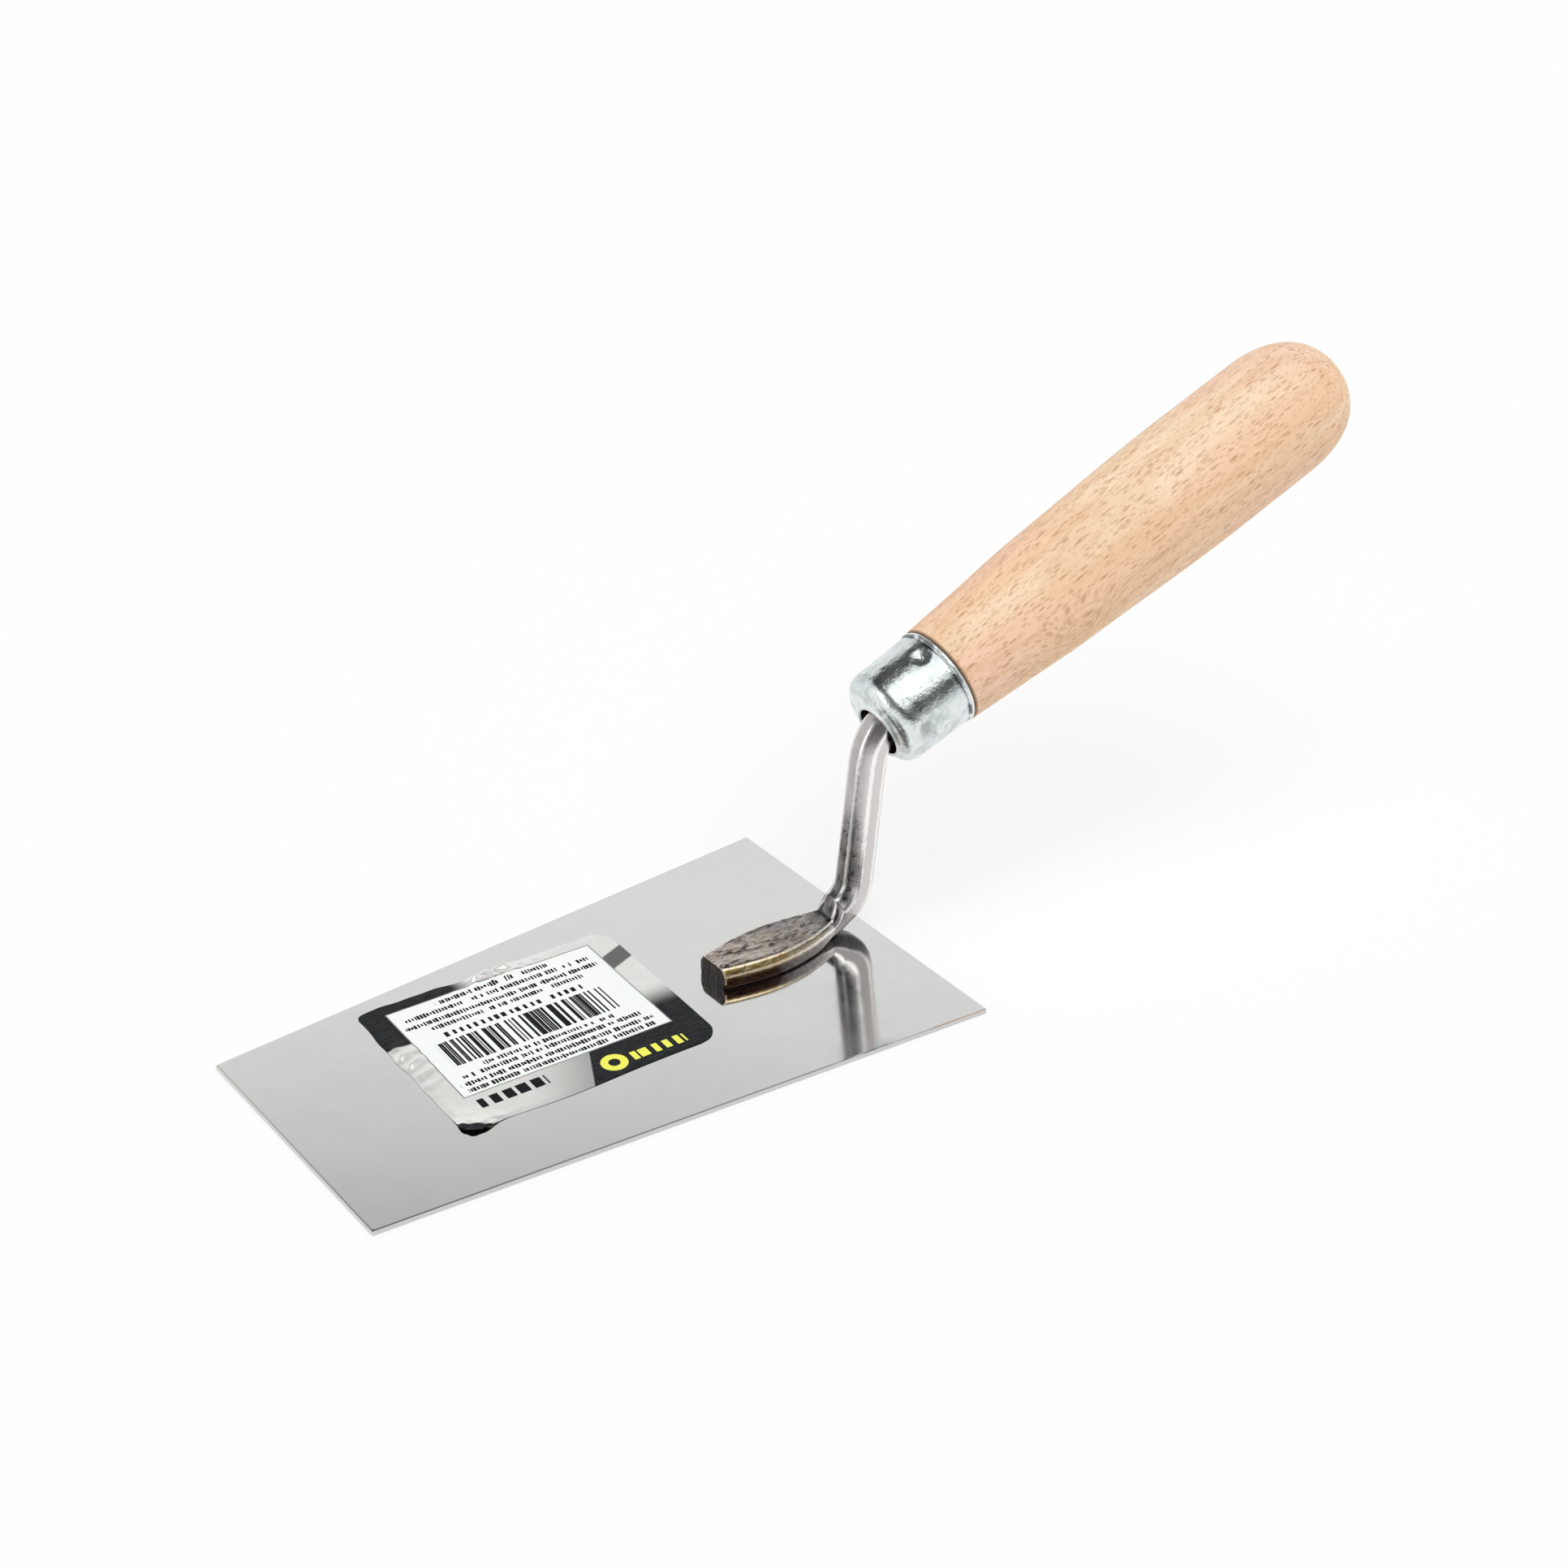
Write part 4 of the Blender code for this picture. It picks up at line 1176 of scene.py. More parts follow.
@dataclass
class Label:
    """The foil sticker, with its lifted folds and wavy edges. Print runs from the handle's side."""

    length: float = 0.0558
    width: float = 0.0447
    corner_radius: float = 0.0045
    turn: float = radians(-2.2)
    thickness: float = 0.00012
    lift: float = 0.00004
    columns: int = 168
    rows: int = 134

    def height(self, u: float, v: float) -> float:
        """How far the sticker stands off the blade, in metres.

        Args:
            u: Place along the print, in millimetres from the handle's side.
            v: Place down the print, in millimetres from the near side.

        Returns:
            The height above its flat place.
        """
        wave = 0.035 * (1 + noise.noise(Vector((u * 0.13, v * 0.13, 3.1))))
        far_fold = bell(u - 26.5, 6.5) * smooth_step(37.0, 44.0, v)
        crumple = abs(noise.noise(Vector((u * 0.42 + v * 0.2, v * 0.55, 8.2))))
        wave += far_fold * (0.25 + 1.5 * crumple)
        toe_fold = smooth_step(48.5, 54.5, u) * bell(v - 25.0, 5.5)
        ridge = abs(sin((v + 0.35 * u) * 0.85)) ** 3
        wave += toe_fold * (0.15 + 0.85 * ridge + 0.5 * crumple)
        corner = smooth_step(44.0, 55.0, u) * smooth_step(7.5, -0.5, v)
        wave += corner * (0.3 + 1.1 * abs(noise.noise(Vector((u * 0.36, v * 0.5, 5.5)))))
        ragged = abs(noise.noise(Vector((v * 0.33, 1.7, 0.0))))
        toe_edge = smooth_step(52.5, 55.8, u) * 0.15 * ragged
        near_edge = smooth_step(2.0, 0.0, v) * 0.10 * abs(noise.noise(Vector((u * 0.3, 4.4, 0.0))))
        rim = min(u, self.length / MM - u, v, self.width / MM - v)
        held = smooth_step(0.0, 1.6, rim) + min(corner + 0.6 * far_fold, 1.0)
        return (wave + toe_edge + near_edge) * min(held, 1.0) * MM

    def edge_shift(self, u: float, v: float) -> tuple[float, float]:
        """How far the print's outline strays along and down, in millimetres."""
        near = smooth_step(9.0, 0.0, v)
        far = smooth_step(38.0, 44.7, v)
        toe = smooth_step(47.0, 55.8, u)
        down = -near * (0.9 * bell(u - 34.0, 13.0) + 1.3 * smooth_step(46.0, 54.0, u))
        waves = noise.noise(Vector((u * 0.25, 0.0, 7.7)))
        down += far * 0.35 * waves - far * 0.5 * bell(u - 33.0, 3.0)
        along = toe * (0.45 * noise.noise(Vector((v * 0.16, 9.0, 0.0))) + 0.5 * bell(v - 27.0, 4.0))
        return along, down

    def toe_radius(self, across: float) -> float:
        """Radius of the toe side's corner on this side of the print: the far one is tighter."""
        return 0.0016 if across > 0 else 0.0030

    def reach(self, across: float, radius: float) -> float:
        """Half length of the print at this place across it, with a corner of this radius."""
        past = max(abs(across) - (self.width / 2 - radius), 0.0)
        return self.length / 2 - radius + sqrt(max(radius ** 2 - past ** 2, 0.0))

    def surface(self) -> list[list[tuple[float, float, float]]]:
        """Rows of flat places and heights over the sticker's rounded outline, in metres."""
        half_length, half_width = self.length / 2, self.width / 2
        table = []
        for row in range(self.rows + 1):
            across = -half_width + self.width * row / self.rows
            reach = [self.reach(across, radius)
                     for radius in (self.toe_radius(across), self.corner_radius)]
            line = []
            for column in range(self.columns + 1):
                along = -reach[0] + (reach[0] + reach[1]) * column / self.columns
                u = (half_length - along) / MM
                v = (across + half_width) / MM
                shift_u, shift_v = self.edge_shift(u, v)
                line.append((along - shift_u * MM, across + shift_v * MM, self.height(u, v)))
            table.append(line)
        return table

    def build(self) -> bpy.types.Object:
        """Build the sticker as one closed thin sheet."""
        low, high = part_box("label")
        blade_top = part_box("blade")[1].z
        middle = (low + high) / 2
        turned = Matrix.Rotation(self.turn, 4, "Z")
        placed = Matrix.Translation((middle.x, middle.y, blade_top + self.lift)) @ turned
        draft = MeshDraft()
        surface = self.surface()
        tops = [draft.ring([Vector((x, y, z + self.thickness)) for x, y, z in line])
                for line in surface]
        bottoms = [draft.ring([Vector((x, y, z)) for x, y, z in line]) for line in surface]
        for level, flipped in ((tops, False), (bottoms, True)):
            for ring, following in zip(level, level[1:]):
                for i in range(self.columns):
                    face = (ring[i], ring[i + 1], following[i + 1], following[i])
                    draft.faces.append(face[::-1] if flipped else face)
        rim = [(row, 0) for row in range(self.rows, 0, -1)] + [(0, i) for i in range(self.columns)]
        rim += [(row, self.columns) for row in range(self.rows)]
        rim += [(self.rows, i) for i in range(self.columns, 0, -1)]
        for i, (row, column) in enumerate(rim):
            next_row, next_column = rim[(i + 1) % len(rim)]
            draft.faces.append((tops[row][column], bottoms[row][column],
                                bottoms[next_row][next_column],
                                tops[next_row][next_column]))
        return draft.build("label_sheet", placed)

    def dress(self, effects: SharedEffects) -> None:
        """Build the sticker and give it its print."""
        sheet = self.build()
        sheet.data.set_sharp_from_angle(angle=radians(50))
        settle(sheet, "label", Slot.LABEL, PrintedFoil(effects, self.length, self.width).material())


# ---------------------------------------------------------------------------
# Shank, ferrule and handle
# ---------------------------------------------------------------------------


@dataclass
class HandleLine:
    """The bar's bends and the handle axis, in the upright plane through the trowel's middle."""

    bar_size: float = 0.0075
    bend_to_heel: float = 0.0095
    lower_radius: float = 0.00775
    upper_radius: float = 0.0120
    neck_lean: float = radians(6.3)
    tilt: float = radians(21.3)
    neck_height: float = 0.0447
    setback: float = 0.0016
    seat_gap: float = 0.0003

    def __post_init__(self) -> None:
        """Work out the fixed points of the line."""
        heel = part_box("blade")[1]
        self.neck_angle = pi / 2 - self.neck_lean
        self.axis = Vector((cos(self.tilt), 0, sin(self.tilt)))
        self.normal = Vector((-sin(self.tilt), 0, cos(self.tilt)))
        self.bend_start = Vector((heel.x - self.bend_to_heel, 0,
                                  heel.z + self.seat_gap + self.bar_size / 2))
        self.lower_centre = self.bend_start + UP * self.lower_radius
        start = self.lower_point(self.neck_angle)
        direction = Vector((cos(self.neck_angle), 0, sin(self.neck_angle)))
        self.crossing = start + direction * ((self.neck_height - start.z) / direction.z)
        self.tangent = self.upper_radius * tan((self.neck_angle - self.tilt) / 2)
        self.tang_start = self.crossing + self.axis * self.tangent
        self.upper_centre = self.tang_start - self.normal * self.upper_radius
        self.front = self.crossing + self.axis * self.setback

    def lower_point(self, angle: float) -> Vector:
        """Middle of the bar in the lower bend, where it runs at this angle above level."""
        return self.lower_centre + self.lower_radius * Vector((sin(angle), 0, -cos(angle)))

    def upper_point(self, angle: float) -> Vector:
        """Middle of the bar in the upper bend, where it runs at this angle above level."""
        return self.upper_centre + self.upper_radius * Vector((-sin(angle), 0, cos(angle)))

    def frame(self) -> Matrix:
        """Own frame of the turned pieces: X up from the blade, Z back along the handle's axis."""
        across = self.axis.cross(self.normal)
        turned = Matrix((self.normal, across, self.axis)).transposed().to_4x4()
        return Matrix.Translation(self.front) @ turned

    def hole(self, lip: float, wall: float, clearance: float) -> tuple[float, float]:
        """The ferrule's front hole.

        Args:
            lip: How far the lip stands out of the front.
            wall: Thickness of the ferrule's wall.
            clearance: Gap between the bar and the hole.

        Returns:
            How far the hole's middle stands off the axis, and its radius.
        """
        half = self.bar_size / 2
        ahead = self.tangent - self.setback + lip
        behind = self.tangent - self.setback - wall
        lowest = sqrt((self.upper_radius - half) ** 2 - ahead ** 2) - self.upper_radius
        highest = sqrt((self.upper_radius + half) ** 2 - behind ** 2) - self.upper_radius
        flat = self.bar_size * (0.5 - 1 / (2 + sqrt(2)))
        return (lowest + highest) / 2, hypot((highest - lowest) / 2, flat) + clearance


@dataclass
class Section:
    """One cross-section of the bar: an octagon with rounded edges."""

    width: float
    height: float
    chamfer_width: float
    chamfer_height: float
    rounding: float = 0.00080
    foot: float = 0.0

    def points(self) -> list[tuple[float, float, float, float]]:
        """Sideways and upward places in order, each with its worn-edge and painted-shade values."""
        x, z = self.width / 2, self.height / 2
        cw, ch = self.chamfer_width, self.chamfer_height
        low_w, low_h = cw * (1 - 0.62 * self.foot), ch * (1 - 0.72 * self.foot)
        corners = [Vector(c)
                   for c in ((x, -z + low_h), (x, z - ch), (x - cw, z), (-x + cw, z), (-x, z - ch),
                                       (-x, -z + low_h), (-x + low_w, -z), (x - low_w, -z))]
        subdivisions = (3, 3, 12, 3, 3, 3, 3, 3)
        arc_steps = 4
        # Painted shade at the start and end of each flat: darkest on the upper flat, which faces the
        # toe on the neck, standing in for the dark surroundings it mirrors.
        painted_shade = ((0.05, 0.1), (0.3, 0.8), (0.80, 1.0), (0.90, 0.12), (0.10, 0.06),
                (0.2, 0.6), (0.4, 0.4),
                (0.6, 0.2))
        found: list[tuple[float, float, float, float]] = []
        for i, corner in enumerate(corners):
            before, after = corners[i - 1], corners[(i + 1) % 8]
            start = corner + (before - corner).normalized() * min(self.rounding,
                                                                  (before - corner).length / 3)
            end = corner + (after - corner).normalized() * min(self.rounding,
                                                               (after - corner).length / 3)
            for step in range(arc_steps + 1):
                t = step / arc_steps
                place = start * (1 - t) ** 2 + corner * 2 * t * (1 - t) + end * t * t
                found.append((place.x, place.y, sin(pi * t),
                              painted_shade[i - 1][1] * (1 - t) + painted_shade[i][0] * t))
            following = after + (corner - after).normalized() * min(self.rounding,
                                                                    (corner - after).length / 3)
            for step in range(1, subdivisions[i]):
                share = step / subdivisions[i]
                place = end.lerp(following, share)
                found.append((place.x, place.y, 0.0, painted_shade[i][0] * (1 - share) + painted_shade[i][1] * share))
        return found


@dataclass
class Shank:
    """The bar: pressed foot, lower bend, neck, upper bend and the start of the tang."""

    line: HandleLine
    foot_length: float = 0.0282
    foot_height: float = 0.0041
    front_width: float = 0.0088
    bulge: float = 0.0044
    chamfer_width: float = 0.0010
    chamfer_height: float = 0.00145
    drift: float = 0.0010
    rise_angle: float = radians(24)
    tang_length: float = 0.0500

    def foot(self, share: float, narrowing: float, drop: float) -> Section:
        """The foot's section, from its front end (0) to the lower bend (1).

        Args:
            share: Place along the foot.
            narrowing: How much narrower than the foot's usual width it is here.
            drop: How far its underside reaches below its packed place.

        Returns:
            The section.
        """
        straight = self.front_width + (self.line.bar_size - self.front_width) * share
        width = straight + self.bulge * sin(pi * share) - narrowing
        return Section(width, self.foot_height + drop, self.chamfer_width,
                       self.chamfer_height, 0.00055,
                       smooth_step(1.0, 0.8, share))

    def rise(self, share: float, drop: float) -> tuple[Section, float]:
        """The section from the foot (0) to the full bar (1), and its height without the drop."""
        full = self.line.bar_size
        chamfer = full / (2 + sqrt(2))
        height = self.foot_height + (full - self.foot_height) * share
        return Section(full, height + drop,
                       self.chamfer_width + (chamfer - self.chamfer_width) * share,
                       self.chamfer_height + (chamfer - self.chamfer_height) * share), height

    def ring(self, draft: MeshDraft, point: Vector, angle: float, section: Section, height: float,
             sideways: float = 0.0, wear: float = 1.0, rim: float = 0.0) -> list[int]:
        """Add one section along the bar.

        Args:
            draft: Mesh in the making.
            point: Middle of the full bar here.
            angle: How far the bar runs above level here.
            section: The section.
            height: Height of the section above the full bar's underside.
            sideways: How far the section stands towards -Y.
            wear: How much its edges are worn.
            rim: Worn-edge value that every point has at least.

        Returns:
            The new points' numbers.
        """
        normal = Vector((-sin(angle), 0, cos(angle)))
        drop = section.height - height
        middle = point - normal * ((self.line.bar_size - height) / 2 + drop / 2)
        places, edges, painted_shades = [], [], []
        for across, up, edge, painted_shade in section.points():
            places.append(middle + Vector((0, across - sideways, 0)) + normal * up)
            edges.append(max(edge * wear, rim))
            painted_shades.append(painted_shade)
        return draft.ring(places, edges, painted_shades)

    def unevenness(self, point: Vector) -> float:
        """How far the surface stands off its true place, in metres: most on the foot."""
        on_foot = smooth_step(self.line.bend_start.x + 0.003,
                              self.line.bend_start.x - 0.004, point.x)
        pressed = 0.10 * ripple(point, 0.0042, 2.0) + 0.05 * ripple(point, 0.0015, 5.0)
        drawn = 0.045 * ripple(point, 0.0060, 7.0) + 0.020 * ripple(point, 0.0022, 9.0)
        return (on_foot * pressed + (1 - on_foot) * drawn) * MM

    def sections(self, draft: MeshDraft) -> list[list[int]]:
        """Add every section from the foot's front end to the tang.

        Args:
            draft: Mesh in the making.

        Returns:
            The rings' numbers in order.
        """
        line = self.line
        gap = line.seat_gap
        front = line.bend_start - Vector((self.foot_length, 0, 0))
        rings = []
        nose = ((0.0, 0.0018, 0.0), (0.0, 0.0010, 0.0), (0.00003, 0.00065, 0.5),
                (0.00012, 0.00032, 0.95),
                (0.00030, 0.00010, 0.85))
        for back, narrowing, rim in nose:
            section = self.foot(0.0, narrowing, gap - narrowing / 4)
            rings.append(self.ring(draft, front + Vector((back, 0, 0)), 0, section,
                                   self.foot_height - narrowing / 4, self.drift, 0.0, rim))
        steps = 64
        for i in range(steps + 1):
            share = i / steps
            forward = 0.0006 + (self.foot_length - 0.0006) * share
            sideways = self.drift * (1 - share ** 3)
            rings.append(self.ring(draft, front + Vector((forward, 0, 0)), 0,
                                   self.foot(share, 0.0, gap),
                                   self.foot_height, sideways))
        steps = 14
        for i in range(1, steps + 1):
            share = i / steps
            angle = self.rise_angle * share
            section, height = self.rise(share, gap * (1 - share))
            rings.append(self.ring(draft, line.lower_point(angle), angle, section, height))
        full, _ = self.rise(1.0, 0.0)
        steps = 20
        for i in range(1, steps + 1):
            angle = self.rise_angle + (line.neck_angle - self.rise_angle) * i / steps
            rings.append(self.ring(draft, line.lower_point(angle), angle, full, line.bar_size))
        start = line.lower_point(line.neck_angle)
        end = line.upper_point(line.neck_angle)
        steps = 40
        for i in range(1, steps):
            rings.append(self.ring(draft, start.lerp(end, i / steps), line.neck_angle,
                                   full, line.bar_size))
        steps = 22
        for i in range(steps + 1):
            angle = line.neck_angle + (line.tilt - line.neck_angle) * i / steps
            rings.append(self.ring(draft, line.upper_point(angle), angle, full, line.bar_size))
        for share in (0.33, 0.66, 1.0):
            size = line.bar_size * (1 - 0.45 * share)
            section = Section(size, size, size / (2 + sqrt(2)), size / (2 + sqrt(2)))
            rings.append(self.ring(draft,
                                   line.tang_start + line.axis * (self.tang_length * share),
                                   line.tilt,
                                   section, line.bar_size - (line.bar_size - size)))
        return rings

    def build(self) -> bpy.types.Object:
        """Build the bar."""
        draft = MeshDraft()
        rings = self.sections(draft)
        for ring, following in zip(rings, rings[1:]):
            draft.join(following, ring)
        draft.faces.append(tuple(rings[0]))
        draft.faces.append(tuple(reversed(rings[-1])))
        bar = draft.build("shank_bar")
        mesh = bar.data
        blade_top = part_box("blade")[1].z
        moved = [vertex.co + vertex.normal * self.unevenness(vertex.co) for vertex in mesh.vertices]
        for vertex, place in zip(mesh.vertices, moved):
            vertex.co = Vector((place.x, place.y, max(place.z, blade_top + 0.00001)))
        return bar

    def dress(self, effects: SharedEffects) -> None:
        """Build the bar and give it its finish."""
        bar = self.build()
        even_normals(bar)
        blade_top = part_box("blade")[1].z
        finish = HeatTintedBar(effects, self.line.bend_start.x, blade_top)
        settle(bar, "shank", Slot.SHANK, finish.material())


@dataclass
class Ferrule:
    """The drawn cup: lipped front hole, rounded shoulder, rolled rear bead and one staked dent."""

    line: HandleLine
    length: float = 0.0167
    wall: float = 0.0008
    front_radius: float = 0.01015
    rear_radius: float = 0.01045
    shoulder: float = 0.0030
    bead_width: float = 0.0013
    bead_height: float = 0.0003
    bead_root: float = 0.00012
    lip: float = 0.0005
    lip_wall: float = 0.0008
    clearance: float = 0.0003
    dent_radius: float = 0.0025
    dent_depth: float = 0.0009
    dent_from_rear: float = 0.0041
    dent_angle: float = radians(17)
    bowl_share: float = 0.60
    pip_depth: float = 0.00030
    pip_width: float = 0.00045
    wave_height: float = 0.00013
    segments: int = 224

    def side_radius(self, depth: float) -> float:
        """Outer radius of the tapered side at this depth."""
        return self.front_radius + (self.rear_radius - self.front_radius) * depth / self.length

    def dent(self, angle: float, depth: float) -> float:
        """How far the staked dent presses the side in, in metres.

        Args:
            angle: Place round the axis.
            depth: Place along the axis.

        Returns:
            The depth of the dent here: a wide bowl with a small pip at its middle.
        """
        along = depth - (self.length - self.dent_from_rear)
        turn = (angle - self.dent_angle + pi) % (2 * pi) - pi
        distance = hypot(along, turn * self.side_radius(depth))
        share = distance / self.dent_radius
        bowl = self.bowl_share * self.dent_depth * (1 - share * share) ** 2 if share < 1 else 0.0
        return bowl + self.pip_depth * bell(distance, self.pip_width)

    def around(self, draft: MeshDraft, radius: Callable[[float], float], depth: float,
               middle: float = 0.0,
               edge: float = 0.0) -> list[int]:
        """Add a ring round the axis.

        Args:
            draft: Mesh in the making.
            radius: Radius at each angle.
            depth: Place along the axis.
            middle: How far the ring's middle stands off the axis.
            edge: Worn-edge value of the ring.

        Returns:
            The new points' numbers.
        """
        places = []
        for i in range(self.segments):
            angle = 2 * pi * i / self.segments
            places.append(Vector((middle + radius(angle) * cos(angle),
                                  radius(angle) * sin(angle), depth)))
        return draft.ring(places, edge)

    def side(self, draft: MeshDraft, inset: float, depths: Sequence[float]) -> list[list[int]]:
        """Add the cup's side, dented and slightly uneven.

        Args:
            draft: Mesh in the making.
            inset: How far inside the outer side it lies.
            depths: Depth of each ring.

        Returns:
            The rings' numbers.
        """
        rings = []
        for depth in depths:
            def radius(angle: float, depth: float = depth) -> float:
                """Radius of the side at this angle."""
                place = Vector((cos(angle), sin(angle), depth * 130)) * 0.009
                swell = 0.00006 * ripple(place, 0.0085, 4.0) + 0.00002 * ripple(place, 0.003, 6.0)
                return self.side_radius(depth) - inset - self.dent(angle, depth) + swell

            rings.append(self.around(draft, radius, depth))
        return rings

    def sink(self, radius: float) -> float:
        """How far the front face lies back at this radius, where it rolls over the shoulder."""
        past = max(radius - (self.side_radius(self.shoulder) - self.shoulder), 0.0)
        return self.shoulder - sqrt(max(self.shoulder ** 2 - past ** 2, 0.0))

    def front(self, draft: MeshDraft) -> list[list[int]]:
        """Add the hole, its lip, the front face and the shoulder, from inside to outside.

        Args:
            draft: Mesh in the making.

        Returns:
            The rings' numbers.
        """
        middle, hole = self.line.hole(self.lip, self.wall, self.clearance)
        outer = hole + self.lip_wall
        profile = [(hole, self.wall, 0.0), (hole, 0.3 * self.wall, 0.0),
                   (hole, -0.5 * self.lip, 0.0)]
        for step in range(7):
            turn = pi * step / 6
            half = self.lip_wall / 2
            profile.append((hole + half - half * cos(turn),
                            -0.6 * self.lip - 0.4 * self.lip * sin(turn), sin(turn)))
        rings = [self.around(draft, lambda angle, r=radius: r, depth, middle, edge)
                 for radius, depth, edge in profile]
        rays = [Vector((cos(2 * pi * i / self.segments), sin(2 * pi * i / self.segments)))
                for i in range(self.segments)]
        fillet = ((0.00002, 0.00030), (0.00012, 0.00021), (0.00028, 0.00013),
                  (0.00050, 0.00006), (0.00080, 0.00001))
        for spread, rise in fillet:
            places = [Vector((middle, 0)) + ray * (outer + spread) for ray in rays]
            rings.append(draft.ring([Vector((p.x, p.y, self.sink(p.length) - rise))
                                     for p in places],
                                    0.8 - 0.7 * spread / fillet[-1][0]))
        steps = 30
        for step in range(1, steps + 1):
            share = sin(pi / 2 * step / steps)
            places = []
            for ray in rays:
                fillet_end = Vector((middle, 0)) + ray * (outer + fillet[-1][0])
                place = fillet_end.lerp(ray * self.side_radius(self.shoulder), share)
                swell = 0.00003 * share * ripple(Vector((ray.x, ray.y, 0.39)) * 0.009, 0.0085, 4.0)
                grown = place * (1 + swell / place.length)
                places.append(Vector((grown.x, grown.y, self.sink(place.length))))
            rings.append(draft.ring(places))
        return rings

    def bead(self, draft: MeshDraft) -> list[list[int]]:
        """Add the rolled bead with its faint hammered waves, and the rear rim."""
        rings = []
        half = self.bead_width / 2
        middle = self.length - half
        steps = 10
        for i in range(steps + 1):
            turn = pi * i / steps
            depth = middle - half * cos(turn)

            def radius(angle: float, turn: float = turn, depth: float = depth) -> float:
                """Radius of the bead at this angle."""
                wave = self.wave_height * noise.noise(Vector((cos(angle) * 6.5,
                                                              sin(angle) * 6.5, 1.0)))
                height = self.bead_height + self.bead_root + wave
                return self.side_radius(depth) - self.bead_root + height * sin(turn)

            rings.append(self.around(draft, radius, depth, 0.0, sin(turn) * 0.8))
        return rings

    def build(self) -> bpy.types.Object:
        """Build the cup as one closed shell."""
        draft = MeshDraft()
        rings = self.front(draft)
        start, end = self.shoulder + 0.0002, self.length - self.bead_width - 0.0001
        count = 48
        depths = [start + (end - start) * i / (count - 1) for i in range(count)]
        rings += self.side(draft, 0.0, depths)
        rings += self.bead(draft)
        inside = [self.length - 0.0002] + depths[::-1]
        rings += self.side(draft, self.wall, inside)
        inner = self.shoulder - self.wall
        base = self.side_radius(self.shoulder) - self.wall - inner
        for i in range(6):
            turn = pi / 2 * (1 - i / 6)
            radius, depth = base + inner * sin(turn), self.shoulder - inner * cos(turn)
            rings.append(self.around(draft, lambda angle, r=radius: r, depth))
        for ring, following in zip(rings, rings[1:]):
            draft.join(following, ring)
        draft.join(rings[0], rings[-1])
        return draft.build("ferrule_cup", self.line.frame())

    def dress(self, effects: SharedEffects) -> None:
        """Build the cup and give it its finish."""
        cup = self.build()
        cup.data.set_sharp_from_angle(angle=radians(55))
        settle(cup, "ferrule", Slot.FERRULE, ZincPlate(effects, self.length).material())


@dataclass
class Handle:
    """The turned grip, with its spigot inside the ferrule."""

    line: HandleLine
    ferrule: Ferrule
    length: float = 0.1113
    radius: float = 0.0141
    front_radius: float = 0.0108
    barrel_length: float = 0.0700
    barrel_power: float = 1.4
    swell: float = 0.00024
    swell_at: float = 0.0270
    swell_width: float = 0.0095
    dome_length: float = 0.0176
    dome_clear: float = 0.00006
    spigot_start: float = 0.0032
    dome_lengthwise_power: float = 2.2
    dome_radial_power: float = 2.75
    edge_rounding: float = 0.0004
    unevenness: float = 0.0022
    uneven_pitch: float = 0.020
    segments: int = 144
    swirl_depth: float = 0.0447
    swirl_angle: float = radians(96)

    def barrel_radius(self, depth: float) -> float:
        """Radius of the wood at this distance behind the ferrule."""
        share = max(1 - depth / self.barrel_length, 0.0)
        radius = self.radius - (self.radius - self.front_radius) * share ** self.barrel_power
        return radius + self.swell * bell(depth - self.swell_at, self.swell_width)

    def profile(self) -> list[tuple[float, float, float]]:
        """Radius, depth and worn-edge value from the spigot's front to the dome's end."""
        start = self.ferrule.length + 0.00008
        spigot = self.ferrule.rear_radius - self.ferrule.wall - self.ferrule.dent_depth - 0.0005
        front = self.spigot_start
        points = [(0.002, front, 0.0), (spigot - 0.0006, front, 0.0), (spigot, front + 0.0006, 0.0),
                  (spigot, start, 0.0), (self.front_radius - 2 * self.edge_rounding, start, 0.0)]
        for step in range(6):
            turn = pi / 2 * step / 5
            points.append((self.barrel_radius(0.0) - self.edge_rounding * (1 - sin(turn)),
                           start + self.edge_rounding * (1 - cos(turn)), sin(2 * turn)))
        straight_end = self.length - self.dome_length
        steps = 96
        for i in range(1, steps + 1):
            depth = self.edge_rounding + (straight_end - self.edge_rounding) * i / steps
            points.append((self.barrel_radius(depth), self.ferrule.length + depth, 0.0))
        steps = 30
        base = self.ferrule.length + straight_end
        reach = self.dome_length - self.dome_clear
        for i in range(1, steps):
            turn = pi / 2 * i / steps
            points.append((self.radius * cos(turn) ** (2 / self.dome_radial_power),
                           base + reach * sin(turn) ** (2 / self.dome_lengthwise_power), 0.0))
        return points

    def build(self) -> bpy.types.Object:
        """Build the grip."""
        draft = MeshDraft()
        rings = []
        for radius, depth, edge in self.profile():
            places = []
            for i in range(self.segments):
                angle = 2 * pi * i / self.segments
                place = Vector((radius * cos(angle), radius * sin(angle), depth))
                uneven = 1 - self.unevenness * (0.5 - 0.5 * ripple(place, self.uneven_pitch, 12.0))
                places.append(Vector((place.x * uneven, place.y * uneven, depth)))
            rings.append(draft.ring(places, edge))
        for ring, following in zip(rings, rings[1:]):
            draft.join(ring, following)
        end = self.ferrule.length + self.length - self.dome_clear - 0.00001
        front = draft.ring([Vector((0, 0, self.spigot_start))])[0]
        tip = draft.ring([Vector((0, 0, end))])[0]
        draft.fan(rings[0][::-1], front)
        draft.fan(rings[-1], tip)
        return draft.build("handle_grip", self.line.frame())

    def dress(self) -> None:
        """Build the grip and give it its finish."""
        grip = self.build()
        grip.data.set_sharp_from_angle(angle=radians(55))
        radius = self.barrel_radius(self.swirl_depth - self.ferrule.length)
        swirl = (radius * cos(self.swirl_angle), radius * sin(self.swirl_angle), self.swirl_depth)
        settle(grip, "handle", Slot.HANDLE, TurnedBeech(swirl, self.ferrule.length).material())


# ---------------------------------------------------------------------------
# Studio
# ---------------------------------------------------------------------------


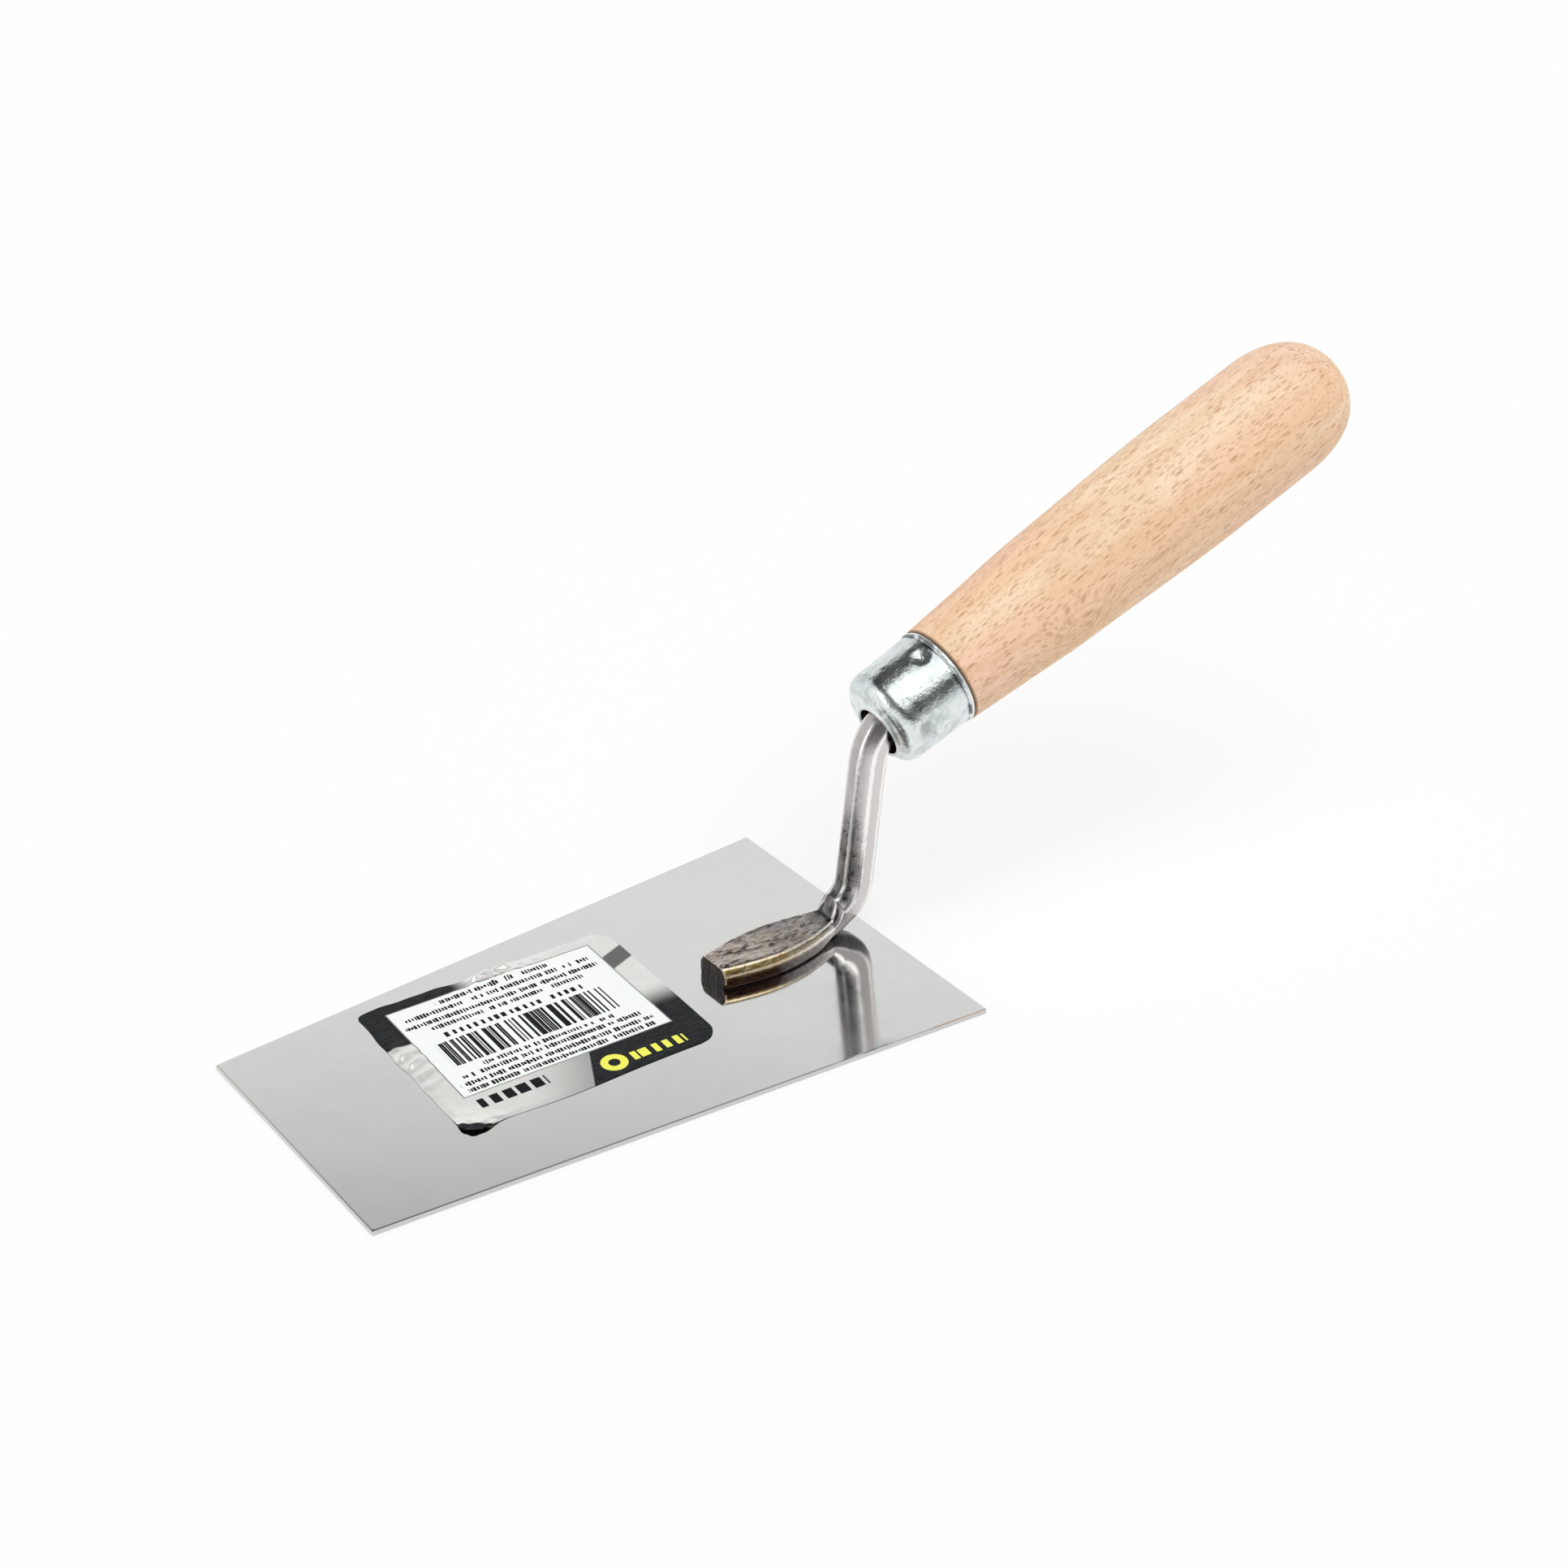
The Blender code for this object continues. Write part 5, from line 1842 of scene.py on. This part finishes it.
@dataclass
class Studio:
    """Pale floor, a dim room with a broad soft light and a bright backdrop, and the camera."""

    floor_reach: float = 9.0
    floor_colour: Colour = (0.92, 0.92, 0.92)
    floor_glow: float = 0.70
    backdrop: float = 0.80
    room: float = 0.09
    near_wall: float = 0.40
    heel_corner: float = 0.50
    overhead: float = 3.0
    overhead_mirrored: float = 1.30
    overhead_from: Point = (0.02, -0.375, 0.927)
    overhead_fade: Fade = (0.76, 0.95)
    backdrop_fade: Fade = (0.537, 0.729)
    near_fade: Fade = (0.24, 0.09)
    corner_fade: Fade = (0.28, 0.48)
    toe_wall: float = 0.25
    toe_strip: float = 1.5
    camera_place: Point = (-0.227886, -0.376397, 0.303637)
    camera_azimuth: float = radians(-35.993)
    camera_elevation: float = radians(29.604)
    lens: float = 63.066
    sensor: float = 36.0

    def build_floor(self) -> None:
        """Lay the floor: it keeps shadows, and is white to the eye and to polished metal."""
        draft = MeshDraft()
        reach = self.floor_reach
        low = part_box("blade")[0].z - 0.00005
        corners = ((-reach, -reach), (reach, -reach), (reach, reach), (-reach, reach))
        draft.faces.append(tuple(draft.ring([Vector((x, y, low)) for x, y in corners])))
        floor = draft.build("floor")
        material, graph, shader = new_finish("pale_floor")
        shader.inputs["Roughness"].default_value = 0.9
        shader.inputs["Specular IOR Level"].default_value = 0.0
        shader.inputs["Base Color"].default_value = (*self.floor_colour, 1.0)
        glow = graph.add("ShaderNodeEmission")
        glow.inputs["Strength"].default_value = 1.0
        path = graph.add("ShaderNodeLightPath")
        seen = graph.highest(path.outputs["Is Camera Ray"], path.outputs["Is Glossy Ray"],
                             path.outputs["Is Transmission Ray"])
        mixed = graph.add("ShaderNodeMixShader")
        graph.feed(mixed.inputs[0], graph.product(seen, self.floor_glow))
        graph.feed(mixed.inputs[1], shader.outputs[0])
        graph.feed(mixed.inputs[2], glow.outputs[0])
        graph.feed(material.node_tree.nodes["Material Output"].inputs["Surface"], mixed.outputs[0])
        floor.data.materials.append(material)
        floor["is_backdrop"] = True

    def build_room(self) -> None:
        """Light the room: a soft light high at the near side, a bright low backdrop, dim walls."""
        world = bpy.data.worlds.new("studio_room")
        world.use_nodes = True
        bpy.context.scene.world = world
        graph = Graph(world.node_tree)
        direction = graph.add("ShaderNodeTexCoord").outputs["Generated"]
        x, y, z = graph.split(direction)
        behind = graph.span(graph.total(y, graph.product(x, 0.35)), -0.25, 0.25)
        low = graph.span(z, *self.backdrop_fade, 1.0, 0.0)
        towards = graph.vector_math("DOT_PRODUCT", direction, self.overhead_from).outputs["Value"]
        soft = graph.span(towards, *self.overhead_fade)
        path = graph.add("ShaderNodeLightPath")
        level = graph.span(path.outputs["Is Glossy Ray"], 0.0, 1.0, self.overhead,
                           self.overhead_mirrored, False)
        strip = graph.span(graph.math("ABSOLUTE", graph.less(y, 0.10)), 0.26, 0.10)
        level_side = graph.total(graph.product(strip, self.toe_strip), self.toe_wall)
        side = graph.product(graph.span(x, -0.30, -0.85), graph.span(z, 0.80, 0.45), level_side)
        near = graph.product(graph.span(y, 0.0, -0.25),
                             graph.span(z, *self.near_fade), self.near_wall)
        corner = graph.product(graph.span(x, *self.corner_fade), graph.span(y, 0.0, -0.25),
                               graph.span(z, 0.75, 0.55),
                               path.outputs["Is Glossy Ray"], self.heel_corner)
        near = graph.highest(near, corner)
        glow = graph.total(graph.product(behind, low, self.backdrop), graph.product(soft, level))
        walls = graph.total(graph.total(side, near), self.room)
        background = world.node_tree.nodes["Background"]
        background.inputs["Color"].default_value = (1.0, 1.0, 1.0, 1.0)
        lit = graph.total(glow, walls)
        strength = graph.span(path.outputs["Is Camera Ray"], 0.0, 1.0, lit, 1.0, False)
        graph.feed(background.inputs["Strength"], strength)

    def build_camera(self) -> None:
        """Stand the camera in its place."""
        data = bpy.data.cameras.new("camera")
        data.lens = self.lens
        data.sensor_width = self.sensor
        data.clip_start, data.clip_end = 0.01, 40.0
        camera = bpy.data.objects.new("camera", data)
        bpy.context.scene.collection.objects.link(camera)
        camera.location = self.camera_place
        camera.rotation_euler = (pi / 2 - self.camera_elevation, 0.0, self.camera_azimuth)
        bpy.context.scene.camera = camera

    def build(self) -> None:
        """Set up the whole studio."""
        bpy.context.scene.view_settings.view_transform = "Standard"
        self.build_floor()
        self.build_room()
        self.build_camera()


def write_sizes() -> None:
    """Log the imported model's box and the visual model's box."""
    boxes = {"cad": CAD_BOX, "visual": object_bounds()}
    plain = {name: [list(corner) for corner in box] for name, box in boxes.items()}
    log.info("boxes: %s", plain)


def main() -> None:
    """Build every piece, then the studio."""
    logging.basicConfig(level=logging.INFO, format="%(name)s: %(message)s")
    effects = SharedEffects()
    Blade().dress(effects)
    Label().dress(effects)
    line = HandleLine()
    Shank(line).dress(effects)
    ferrule = Ferrule(line)
    ferrule.dress(effects)
    Handle(line, ferrule).dress()
    Studio().build()
    write_sizes()


if __name__ == "__main__":
    main()
